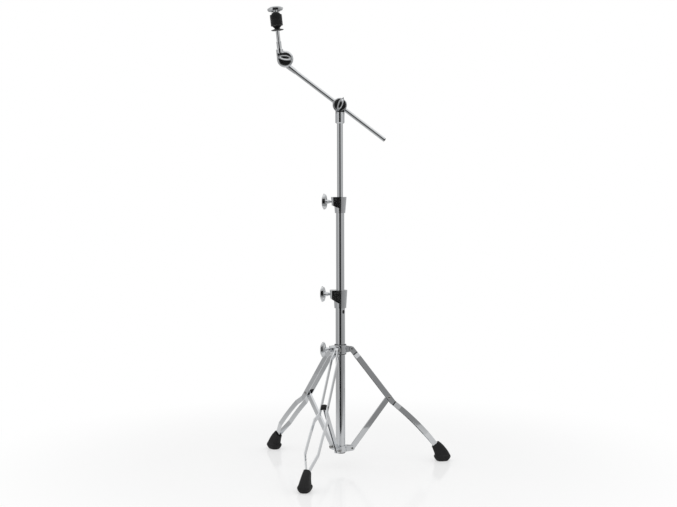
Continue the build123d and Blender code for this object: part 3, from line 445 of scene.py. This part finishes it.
def plated(name, colour, smooth, rough, peel_mm, peel_height, smear_mm):
    """Bright plating on metal.

    Electroplated chrome over nickel gives a clear mirror with a faint blue cast. What shows is the
    ground beneath it, a slight waviness peel_mm across, and smears from hands, which dull it in patches."""
    made, tree, where = blank(name)
    smear = add(tree, "ShaderNodeTexNoise", {"Scale": 1 / smear_mm, "Detail": 4.0, "Roughness": 0.6},
                {"Vector": where})
    dull = add(tree, "ShaderNodeMapRange", {"From Min": 0.42, "From Max": 0.72, "To Min": smooth, "To Max": rough},
               {"Value": smear.outputs["Fac"]})
    peel = add(tree, "ShaderNodeTexNoise", {"Scale": 1 / peel_mm, "Detail": 2.0}, {"Vector": where})
    bump = add(tree, "ShaderNodeBump", {"Strength": 1.0, "Distance": peel_height * MM},
               {"Height": peel.outputs["Fac"]})
    tone = add(tree, "ShaderNodeMix", {"data_type": "RGBA", 6: colour, 7: toned(colour, 0.93)},
               {0: smear.outputs["Fac"]})
    shader = add(tree, "ShaderNodeBsdfPrincipled", {"Metallic": 1.0},
                 {"Base Color": tone.outputs[2], "Roughness": dull.outputs[0], "Normal": bump.outputs[0]})
    close(tree, shader)
    return made


def moulded(name, colour, rough, grain_mm, grain_height, dust):
    """Black plastic or rubber out of a textured mould.

    A fine even grain spreads the highlight, and dust in it lifts the black to a soft grey in patches."""
    made, tree, where = blank(name)
    grain = add(tree, "ShaderNodeTexVoronoi", {"Scale": 1 / grain_mm}, {"Vector": where})
    patch = add(tree, "ShaderNodeTexNoise", {"Scale": 1 / (grain_mm * 14), "Detail": 5.0, "Roughness": 0.65},
                {"Vector": where})
    bump = add(tree, "ShaderNodeBump", {"Strength": 0.6, "Distance": grain_height * MM},
               {"Height": grain.outputs["Distance"]})
    tone = add(tree, "ShaderNodeMix", {"data_type": "RGBA", 6: colour, 7: toned(colour, dust=dust)},
               {0: patch.outputs["Fac"]})
    worn = add(tree, "ShaderNodeMapRange", {"From Min": 0.3, "From Max": 0.7, "To Min": rough - 0.06,
                                            "To Max": rough + 0.08}, {"Value": patch.outputs["Fac"]})
    shader = add(tree, "ShaderNodeBsdfPrincipled", {"IOR": 1.5, "Specular IOR Level": 0.3},
                 {"Base Color": tone.outputs[2], "Roughness": worn.outputs[0], "Normal": bump.outputs[0]})
    close(tree, shader)
    return made


def pressed_felt(name, colour):
    """Pressed wool felt: matt, with a nap of fibres about 0.1 mm thick that catches light at its edges.

    The fibres are drawn 0.8 mm apart, as coarse as they need to be to show."""
    made, tree, where = blank(name)
    pressed = add(tree, "ShaderNodeMapping", {"Scale": (1.0, 1.0, 2.2)}, {"Vector": where})
    fibres = add(tree, "ShaderNodeTexNoise", {"Scale": 1.25, "Detail": 8.0, "Roughness": 0.75, "Distortion": 1.4},
                 {"Vector": pressed.outputs[0]})
    clumps = add(tree, "ShaderNodeTexNoise", {"Scale": 0.16, "Detail": 3.0}, {"Vector": where})
    height = add(tree, "ShaderNodeMath", {"operation": "ADD"}, {0: fibres.outputs["Fac"], 1: clumps.outputs["Fac"]})
    bump = add(tree, "ShaderNodeBump", {"Strength": 0.9, "Distance": 0.5 * MM}, {"Height": height.outputs[0]})
    tone = add(tree, "ShaderNodeMix", {"data_type": "RGBA", 6: toned(colour, 0.55), 7: toned(colour, 2.1)},
               {0: fibres.outputs["Fac"]})
    shader = add(tree, "ShaderNodeBsdfPrincipled",
                 {"Roughness": 0.95, "Specular IOR Level": 0.2, "Sheen Weight": 0.25, "Sheen Roughness": 0.45},
                 {"Base Color": tone.outputs[2], "Normal": bump.outputs[0]})
    close(tree, shader)
    return made


def make_finishes():
    """One material for each finish of the record."""
    colours = bpy.context.scene.stand_colours
    for make, rows in ((plated, PLATINGS), (moulded, MOULDINGS)):
        for finish, (name, colour, *looks) in rows.items():
            FINISHES[finish] = make(name, tuple(getattr(colours, colour)), *looks)
    FINISHES["black_felt"] = pressed_felt("pressed_wool_felt", tuple(colours.felt))


# ---------------------------------------------------------------- shapes
def eased(node, width_mm, bend_mm=0):
    """A copy of a CAD node with its facets merged, its edges rounded and its flat faces shaded flat.

    bend_mm also rounds the slight bends across a strip, which the edges' rounding leaves sharp."""
    source = frame["nodes"][node]
    twin = bpy.data.objects.new(node + "_skin", source.data.copy())
    bpy.context.scene.collection.objects.link(twin)
    place(twin, source.matrix_world.copy())
    mend(twin)
    edit()
    bpy.ops.mesh.select_all(action="SELECT")
    bpy.ops.mesh.dissolve_limited(angle_limit=math.radians(FLAT_ANGLE))
    leave()
    if bend_mm:
        choose_bends(twin)
        bpy.ops.mesh.bevel(offset=bend_mm * MM, segments=4, affect="EDGES", clamp_overlap=False)
        leave()
    soften(twin, width_mm)
    modifier(twin, "WEIGHTED_NORMAL", keep_sharp=True)
    return twin


def turn(profile, bored=False):
    """A round part on Z: one ring of vertices, extruded and scaled through (radius, height) steps in mm.

    A bored part joins its last ring to its first; a solid one is closed at both ends."""
    (radius, height), *others = profile
    clear_selection()
    bpy.ops.mesh.primitive_circle_add(vertices=bpy.context.scene.stand_sizes.sides, radius=radius * MM,
                                      location=(0, 0, height * MM), fill_type="NOTHING" if bored else "NGON")
    obj = bpy.context.view_layer.objects.active
    edit("EDGE")
    bpy.ops.mesh.select_all(action="SELECT")
    for next_radius, next_height in [*others, profile[0]] if bored else others:
        share = next_radius / radius
        grow((0, 0, (next_height - height) * MM), (share, share, 1), (0, 0, next_height * MM))
        radius, height = next_radius, next_height
    leave()
    mend(bake_place(obj))
    return obj


def arc(centre, radius, start, end, steps):
    """Points of an arc for a profile, in mm and degrees."""
    angles = [math.radians(start + (end - start) * i / steps) for i in range(steps + 1)]
    return [(centre[0] + radius * math.cos(a), centre[1] + radius * math.sin(a)) for a in angles]


def centre_of(node):
    low, high = (Vector(corner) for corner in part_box(node))
    return (low + high) / 2


def pose_of(joint):
    """Place and axis of a joint at rest."""
    return Vector(JOINTS[joint]["pos_m"]), Vector(JOINTS[joint]["axis"])


# ---------------------------------------------------------------- plated steel
class STAND_OT_tubes(bpy.types.Operator):
    """Drawn steel tubes, each end broken with a file, and the boom with its domed plug"""
    bl_idname = "stand.tubes"
    bl_label = "Tubes"

    def execute(self, context):
        for node in ("lower_tube", "middle_tube", "upper_tube", "boom_rod"):
            settle(eased(node, TUBE_EDGE), node, "plated")
        settle(eased("boom_end_plug", TURNED_EDGE), "boom_end_plug", "domed")
        settle(eased("cymbal_rod", TURNED_EDGE), "cymbal_rod", "turned")
        return {"FINISHED"}


class STAND_OT_castings(bpy.types.Operator):
    """Zinc die castings: height clamps, collar, bottom bracket and the two tilters"""
    bl_idname = "stand.castings"
    bl_label = "Castings"

    def execute(self, context):
        edge = context.scene.stand_sizes.cast_edge
        for node in ("lower_clamp", "upper_clamp", "leg_collar", "leg_bracket", "boom_socket", "boom_clamp",
                     "boom_eye_bolt", "tilter_base", "tilter_arm"):
            settle(eased(node, edge), node, "cast", "chrome_casting")
        return {"FINISHED"}


class STAND_OT_legs(bpy.types.Operator):
    """Flat strips, channel braces, the black inserts in the braces and the black rings beside them"""
    bl_idname = "stand.legs"
    bl_label = "Legs and braces"

    def execute(self, context):
        sizes = context.scene.stand_sizes
        for leg in range(1, len(LEG_AZIMUTHS) + 1):
            for node, made, edge, bend in ((f"leg_{leg}_strips", "bent", sizes.strip_edge, sizes.strip_bend),
                                           (f"brace_{leg}", "folded", sizes.strip_edge, 0),
                                           (f"brace_{leg}_insert", "moulded", sizes.moulded_edge, 0),
                                           (f"leg_{leg}_spacers", "moulded", sizes.moulded_edge, 0)):
                settle(eased(node, edge, bend), node, made)
        return {"FINISHED"}


def domed_pin(grip_mm):
    """A rivet on Z: its shank, and at each end a head that the press has domed."""
    half = grip_mm / 2
    ball = (PIN_HEAD_R ** 2 + PIN_HEAD_LIFT ** 2) / (2 * PIN_HEAD_LIFT)
    rim = 90 - math.degrees(math.asin(PIN_HEAD_R / ball))
    side = [(PIN_R, 0), (PIN_R, half), *arc((0, half + PIN_HEAD_LIFT - ball), ball, rim, 88, 8)]
    obj = turn([(r, -z) for r, z in reversed(side[1:])] + side)
    soften(obj, 0.2, angle=60)
    return obj


class STAND_OT_rivets(bpy.types.Operator):
    """Domed rivets of the leg joints, the bracket and the collar"""
    bl_idname = "stand.rivets"
    bl_label = "Rivets"

    def execute(self, context):
        for leg, azimuth in enumerate(LEG_AZIMUTHS, start=1):
            node = f"leg_{leg}_rivet"
            angle = math.radians(azimuth)
            pin = domed_pin(JOINT_GRIP)
            place(pin, along(centre_of(node), (-math.sin(angle), math.cos(angle), 0)))
            settle(pin, node, "domed")
        for node, joint, grip in (("bracket_pins", "leg_fold", BRACKET_GRIP),
                                  ("collar_pins", "collar_hinge", COLLAR_GRIP)):
            spot = pose_of(joint)[0]
            pins = [domed_pin(grip) for azimuth in LEG_AZIMUTHS]
            for pin, azimuth in zip(pins, LEG_AZIMUTHS):
                place(pin, Matrix.Rotation(math.radians(azimuth), 4, "Z") @ along(spot, (0, 1, 0)))
            settle(joined(pins), node, "domed")
        return {"FINISHED"}


# ---------------------------------------------------------------- wings
def wing(rise_mm):
    """Die-cast wing on Z: a leaf seen from its end, with a raised rim round a hollow.

    It grows from a block in the middle; each half is the other one turned about Z."""
    clear_selection()
    near, *others = WING_SECTIONS
    middle = Vector((0, 0, rise_mm + WING_DEPTH / 2)) * MM
    block = Vector((near[0], near[2], near[3])) * 2 * MM
    bpy.ops.mesh.primitive_cube_add(size=1, location=middle, scale=block)
    obj = bake_place(bpy.context.view_layer.objects.active)
    for side in (1, -1):
        x, y, half_width, half_depth = near
        choose(obj, "FACE", lambda face: face.normal.x * side > 0.9)
        for next_x, next_y, next_width, next_depth in others:
            grow(((next_x - x) * side * MM, (next_y - y) * side * MM, 0),
                 (1, next_width / half_width, next_depth / half_depth),
                 (next_x * side * MM, next_y * side * MM, middle.z))
            x, y, half_width, half_depth = next_x, next_y, next_width, next_depth
        leave()
    sizes = bpy.context.scene.stand_sizes
    choose(obj, "FACE", lambda face: face.normal.z > 0.5)
    bpy.ops.mesh.inset(thickness=sizes.wing_rim * MM, use_even_offset=True)
    bpy.ops.mesh.inset(thickness=WING_DISH_RUN * MM, depth=-sizes.wing_dish * MM, use_even_offset=True)
    leave()
    modifier(obj, "SUBSURF", levels=3, render_levels=3)
    reach = [max(vertex.co[axis] for vertex in obj.data.vertices) - middle[axis] for axis in range(3)]
    wanted = (WING_SPAN, WING_WIDTH, WING_DEPTH)
    take(obj)
    bpy.ops.transform.resize(value=[full / 2 * MM / half for full, half in zip(wanted, reach)], center_override=middle)
    bake_place(obj)
    bpy.ops.object.shade_smooth()
    return obj


def thread(radius, start, end):
    """Screw thread between two heights, drawn as the rings that it looks like from the side."""
    root = radius - THREAD_DEPTH
    profile = [(root, start)]
    for number in range(int((end - start) / PITCH)):
        low = start + number * PITCH
        profile += [(radius, low + THREAD_CREST[0]), (radius, low + THREAD_CREST[1]), (root, low + PITCH)]
    obj = turn(profile)
    soften(obj, 0, angle=50)
    return obj


def wing_bolt(radius, shank_mm):
    """Wing with a tapered neck and a threaded shank below it."""
    neck = turn([(radius + out, height) for out, height in NECK_FOOT] + [*NECK_HUB])
    soften(neck, 0.4, angle=20)
    return joined([wing(0), neck, thread(radius, -WING_NECK - shank_mm, -WING_NECK + SHANK_LAP)])


def wing_nut(boss_mm):
    """Wing on a round boss."""
    boss = turn([*BOSS_FOOT] + [(radius, boss_mm + height) for radius, height in BOSS_HUB])
    soften(boss, 0.3, angle=20)
    return joined([wing(boss_mm), boss])


class STAND_OT_wings(bpy.types.Operator):
    """Cast wing bolts of the collar and the clamps, and cast wing nuts of the tilters and the cymbal rod"""
    bl_idname = "stand.wings"
    bl_label = "Wing bolts and nuts"

    def execute(self, context):
        for name, radius in WING_BOLTS:
            spot, axis = pose_of(f"{name}_wing_turn")
            node = f"{name}_wing_bolt"
            seat = min((Vector(corner) - spot).dot(axis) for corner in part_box(node))
            bolt = wing_bolt(radius, -seat / MM - WING_NECK - SHANK_RELIEF)
            place(bolt, along(spot, axis))
            settle(bolt, node, "cast")
        for name, boss, way in WING_NUTS:
            spot, axis = pose_of(f"{name}_wing_turn")
            nut = wing_nut(boss)
            start = spot + axis * FACE_GAP * MM
            place(nut, along(start, axis, (1, 0, 0)) @ Matrix.Rotation(math.radians(way), 4, "Z"))
            settle(nut, f"{name}_wing_nut", "cast")
        return {"FINISHED"}


# ---------------------------------------------------------------- moulded and turned black parts
class STAND_OT_tilter_caps(bpy.types.Operator):
    """Stepped black discs under the wing nuts of the tilters"""
    bl_idname = "stand.tilter_caps"
    bl_label = "Tilter caps"

    def execute(self, context):
        for node, joint in (("boom_pressure_cap", "boom_wing_turn"), ("tilter_pressure_cap", "tilter_wing_turn")):
            spot, axis = pose_of(joint)
            cap = turn(CAP_PROFILE, bored=True)
            soften(cap, 0.35, segments=3, angle=25)
            place(cap, along(spot - axis * CAP_THICKNESS * MM, axis))
            settle(cap, node, "moulded")
        return {"FINISHED"}


def rod_place():
    """Frame on the cymbal rod with +Z up the rod, its zero at the foot of the wing nut."""
    spot, axis = pose_of("top_wing_turn")
    return along(spot, axis, (1, 0, 0))


class STAND_OT_cymbal_seat(bpy.types.Operator):
    """Black seat with its flared skirt, and the dome above the felts"""
    bl_idname = "stand.cymbal_seat"
    bl_label = "Cymbal seat"

    def execute(self, context):
        top = -DOME_HEIGHT - FELT_PLAY
        base = top - 2 * FELT_THICKNESS
        seat = turn([(radius, base + height) for radius, height in SEAT_PROFILE]
                    + [(radius, top - SLEEVE_DROP) for radius in SLEEVE_RADII], bored=True)
        soften(seat, 0.25, angle=25)
        place(seat, rod_place())
        settle(seat, "cymbal_seat", "moulded")
        outline = (*DOME_FOOT, *arc(*DOME_SHOULDER), *DOME_CROWN)
        dome = turn([(radius, height - DOME_HEIGHT) for radius, height in outline], bored=True)
        soften(dome, 0.2, angle=30)
        place(dome, rod_place())
        settle(dome, "nut_dome", "moulded")
        return {"FINISHED"}


class STAND_OT_felts(bpy.types.Operator):
    """Two pressed wool washers, their rims rounded and their sides a little swollen and uneven"""
    bl_idname = "stand.felts"
    bl_label = "Felts"

    def execute(self, context):
        edge = context.scene.stand_sizes.felt_edge
        nap = bpy.data.textures.new("felt_nap", "CLOUDS")
        nap.noise_scale = NAP_SIZE * MM
        nap.noise_depth = NAP_DETAIL
        top = -DOME_HEIGHT - FELT_PLAY
        hole, flat = FELT_RADII
        for node, low in (("lower_felt", top - 2 * FELT_THICKNESS), ("upper_felt", top - FELT_THICKNESS)):
            high = low + FELT_THICKNESS
            corner = FELT_R - edge
            steps = [step / FELT_STEPS for step in range(1, FELT_STEPS)]
            side = [(FELT_R + FELT_SWELL * math.sin(math.pi * step), low + edge + (FELT_THICKNESS - 2 * edge) * step)
                    for step in steps]
            felt = turn([(hole, low), (flat, low), *arc((corner, low + edge), edge, -90, 0, 4), *side,
                         *arc((corner, high - edge), edge, 0, 90, 4), (flat, high), (hole, high)], bored=True)
            modifier(felt, "SUBSURF", levels=1, render_levels=1)
            modifier(felt, "DISPLACE", texture=nap, texture_coords="LOCAL", strength=NAP_HEIGHT * MM,
                     mid_level=NAP_LEVEL)
            take(felt)
            bpy.ops.object.shade_smooth()
            place(felt, rod_place())
            settle(felt, node, "pressed")
        return {"FINISHED"}


class STAND_OT_feet(bpy.types.Operator):
    """Moulded rubber boots on the ends of the legs, with a lip round the sole and an open mouth"""
    bl_idname = "stand.feet"
    bl_label = "Rubber feet"

    def execute(self, context):
        boot = rubber_boot()
        for leg, azimuth in enumerate(LEG_AZIMUTHS, start=1):
            twin = copy_of(boot)
            place(twin, Matrix.Rotation(math.radians(azimuth), 4, "Z"))
            settle(twin, f"leg_{leg}_foot", "moulded")
        bpy.data.objects.remove(boot)
        return {"FINISHED"}


def rubber_boot():
    """The boot of leg 1: one rounded outline, extruded and resized level by level, then tipped towards the leg."""
    x, z, slope, length, width = BOOT_LEVELS[0]
    clear_selection()
    bpy.ops.mesh.primitive_plane_add(size=1, location=(x * MM, 0, z * MM))
    bpy.ops.transform.resize(value=(length * MM, width * MM, 1))
    boot = bake_place(bpy.context.view_layer.objects.active)
    edit()
    bpy.ops.mesh.select_all(action="SELECT")
    bpy.ops.mesh.bevel(offset=BOOT_CORNER * width * MM, segments=6, affect="VERTICES")
    for next_x, next_z, next_slope, next_length, next_width in BOOT_LEVELS[1:]:
        here = (x * MM, 0, z * MM)
        there = (next_x * MM, 0, next_z * MM)
        bpy.ops.mesh.extrude_region_move(TRANSFORM_OT_translate={"value": (0, 0, 0)})
        bpy.ops.transform.rotate(value=-math.radians(slope), orient_axis="Y", center_override=here)
        bpy.ops.transform.resize(value=(next_length / length, next_width / width, 1), center_override=here)
        bpy.ops.transform.translate(value=((next_x - x) * MM, 0, (next_z - z) * MM))
        bpy.ops.transform.rotate(value=math.radians(next_slope), orient_axis="Y", center_override=there)
        x, z, slope, length, width = next_x, next_z, next_slope, next_length, next_width
    leave()
    mend(boot)
    soften(boot, 0.9, segments=3, angle=22)
    modifier(boot, "SUBSURF", levels=1, render_levels=1)
    take(boot)
    bpy.ops.object.shade_smooth()
    return boot


class STAND_OT_small_parts(bpy.types.Operator):
    """Small parts of the tilters and what lies inside the tubes: they keep their own shapes"""
    bl_idname = "stand.small_parts"
    bl_label = "Small parts"

    def execute(self, context):
        for node in ("tilter_bolt", "tilter_brake", "boom_liner", "tube_plug"):
            settle(eased(node, FINE_EDGE), node, "finished")
        for node, obj in frame["nodes"].items():
            if node not in DONE:
                coat(obj, SLOT_OF[node])
        return {"FINISHED"}


# ---------------------------------------------------------------- stage
def between(tree, value, limits, low, high):
    """Mix two colours, by where a value lies between two limits; high may be a plain colour."""
    share = add(tree, "ShaderNodeMapRange", {"From Min": limits[0], "From Max": limits[1]}, {"Value": value})
    plain = isinstance(high, tuple)
    mixed = add(tree, "ShaderNodeMix", {"data_type": "RGBA", **({7: high} if plain else {})},
                {0: share.outputs[0], 6: low, **({} if plain else {7: high})})
    return mixed.outputs[2]


def studio_world():
    """White for the camera, even light for matt surfaces, and for gloss a room with pale walls and a dark front."""
    world = bpy.data.worlds.new("studio")
    bpy.context.scene.world = world
    world.use_nodes = True
    tree = world.node_tree
    tree.nodes.clear()
    looking = add(tree, "ShaderNodeTexCoord").outputs["Generated"]
    front = add(tree, "ShaderNodeVectorMath", {"operation": "DOT_PRODUCT", 1: tuple(FRONT)}, {0: looking})
    right = add(tree, "ShaderNodeVectorMath", {"operation": "DOT_PRODUCT", 1: tuple(RIGHT)}, {0: looking})
    round_about = add(tree, "ShaderNodeMath", {"operation": "ARCTAN2"},
                      {0: right.outputs["Value"], 1: front.outputs["Value"]})
    share = add(tree, "ShaderNodeMapRange", {"From Min": -math.pi, "From Max": math.pi},
                {"Value": round_about.outputs[0]})
    height = add(tree, "ShaderNodeSeparateXYZ", links={0: looking}).outputs["Z"]
    rows = []
    for levels in (WALLS_BELOW, WALLS_ABOVE):
        row = add(tree, "ShaderNodeValToRGB", links={"Fac": share.outputs[0]})
        stops = row.color_ramp.elements
        stops[0].color = stops[1].color = (levels[0][1],) * 3 + (1,)
        for angle, level in levels[1:-1]:
            stops.new((angle + 180) / 360).color = (level, level, level, 1)
        rows.append(row.outputs["Color"])
    room = between(tree, height, EYE_LINE, rows[0], rows[1])
    for start, end, level in LAYERS:
        room = between(tree, height, (start, end), room, (level, level, level, 1))
    path = add(tree, "ShaderNodeLightPath")
    seen = add(tree, "ShaderNodeMix", {"data_type": "RGBA", 6: (MATT_LIGHT,) * 3 + (1,)},
               {0: path.outputs["Is Glossy Ray"], 7: room})
    shown = add(tree, "ShaderNodeMix", {"data_type": "RGBA", 7: (1, 1, 1, 1)},
                {0: path.outputs["Is Camera Ray"], 6: seen.outputs[2]})
    light = add(tree, "ShaderNodeBackground", {"Strength": 1.0}, {"Color": shown.outputs[2]})
    add(tree, "ShaderNodeOutputWorld", links={"Surface": light.outputs[0]})


def floor_paper():
    """White paper with a faint gloss, which fades into the white of the room away from the stand."""
    made, tree, where = blank("studio_paper")
    paper = add(tree, "ShaderNodeBsdfPrincipled", {"Base Color": tuple(bpy.context.scene.stand_colours.paper),
                                                   "Roughness": PAPER_ROUGHNESS, "Specular IOR Level": PAPER_GLOSS})
    reach = add(tree, "ShaderNodeVectorMath", {"operation": "LENGTH"}, {0: where})
    fade = add(tree, "ShaderNodeMapRange", {"From Min": PAPER_FADE[0], "From Max": PAPER_FADE[1], "To Min": PAPER_HAZE,
                                            "interpolation_type": "SMOOTHSTEP"}, {"Value": reach.outputs["Value"]})
    path = add(tree, "ShaderNodeLightPath")
    level = add(tree, "ShaderNodeMapRange", {"To Min": PAPER_GLOW}, {"Value": path.outputs["Is Camera Ray"]})
    white = add(tree, "ShaderNodeEmission", {"Color": (1, 1, 1, 1)}, {"Strength": level.outputs[0]})
    blend = add(tree, "ShaderNodeMixShader", links={0: fade.outputs[0], 1: paper.outputs[0], 2: white.outputs[0]})
    ahead = add(tree, "ShaderNodeVectorMath", {"operation": "DOT_PRODUCT", 1: tuple(FRONT)}, {0: where})
    past = add(tree, "ShaderNodeMapRange", {"From Min": PAPER_MIRROR_EDGE[0], "From Max": PAPER_MIRROR_EDGE[1]},
               {"Value": ahead.outputs["Value"]})
    unseen = add(tree, "ShaderNodeMath", {"operation": "MULTIPLY"},
                 {0: past.outputs[0], 1: path.outputs["Is Glossy Ray"]})
    gone = add(tree, "ShaderNodeBsdfTransparent")
    final = add(tree, "ShaderNodeMixShader", links={0: unseen.outputs[0], 1: blend.outputs[0], 2: gone.outputs[0]})
    close(tree, final)
    return made


class STAND_OT_studio(bpy.types.Operator):
    """White paper floor, even studio light and the camera"""
    bl_idname = "stand.studio"
    bl_label = "Studio"

    def execute(self, context):
        clear_selection()
        bpy.ops.mesh.primitive_plane_add(size=2 * context.scene.stand_sizes.paper_reach, location=(0, 0, 0),
                                         rotation=(0, 0, math.radians(HEADING)))
        floor = bake_place(context.view_layer.objects.active)
        floor.name = "floor_paper"
        floor.data.materials.append(floor_paper())
        studio_world()
        lens = bpy.data.cameras.new("camera")
        lens.lens = LENS
        lens.sensor_width = SENSOR
        lens.clip_end = CAMERA_REACH
        camera = bpy.data.objects.new("camera", lens)
        context.scene.collection.objects.link(camera)
        camera.location = FRONT * CAMERA_DISTANCE + RIGHT * CAMERA_ASIDE + Vector((0, 0, CAMERA_HEIGHT))
        aim = Matrix.Rotation(math.radians(HEADING), 4, "Z") @ Matrix.Rotation(math.radians(90 - CAMERA_PITCH), 4, "X")
        camera.rotation_euler = (aim @ Matrix.Rotation(math.radians(-CAMERA_ROLL), 4, "Z")).to_euler()
        context.scene.camera = camera
        context.scene.view_settings.view_transform = "Standard"
        return {"FINISHED"}


# ---------------------------------------------------------------- the add-on
class STAND_PT_panel(bpy.types.Panel):
    """Sizes, colours and steps of the cymbal stand"""
    bl_idname = "STAND_PT_panel"
    bl_label = "Cymbal stand"
    bl_space_type = "VIEW_3D"
    bl_region_type = "UI"
    bl_category = "Stand"

    def draw(self, context):
        column = self.layout.column()
        for group in (context.scene.stand_sizes, context.scene.stand_colours):
            for name in group.__annotations__:
                column.prop(group, name)
        for step in STEPS:
            column.operator(step.bl_idname)


STEPS = (STAND_OT_tubes, STAND_OT_castings, STAND_OT_legs, STAND_OT_rivets, STAND_OT_feet, STAND_OT_wings,
         STAND_OT_tilter_caps, STAND_OT_cymbal_seat, STAND_OT_felts, STAND_OT_small_parts, STAND_OT_studio)
CLASSES = (StandSizes, StandColours, *STEPS, STAND_PT_panel)


def register():
    for each in CLASSES:
        bpy.utils.register_class(each)
    bpy.types.Scene.stand_sizes = PointerProperty(type=StandSizes)
    bpy.types.Scene.stand_colours = PointerProperty(type=StandColours)


def unregister():
    del bpy.types.Scene.stand_colours
    del bpy.types.Scene.stand_sizes
    for each in reversed(CLASSES):
        bpy.utils.unregister_class(each)


def main():
    register()
    make_finishes()
    for step in STEPS:
        group, name = step.bl_idname.split(".")
        getattr(getattr(bpy.ops, group), name)()


if __name__ == "__main__":
    main()
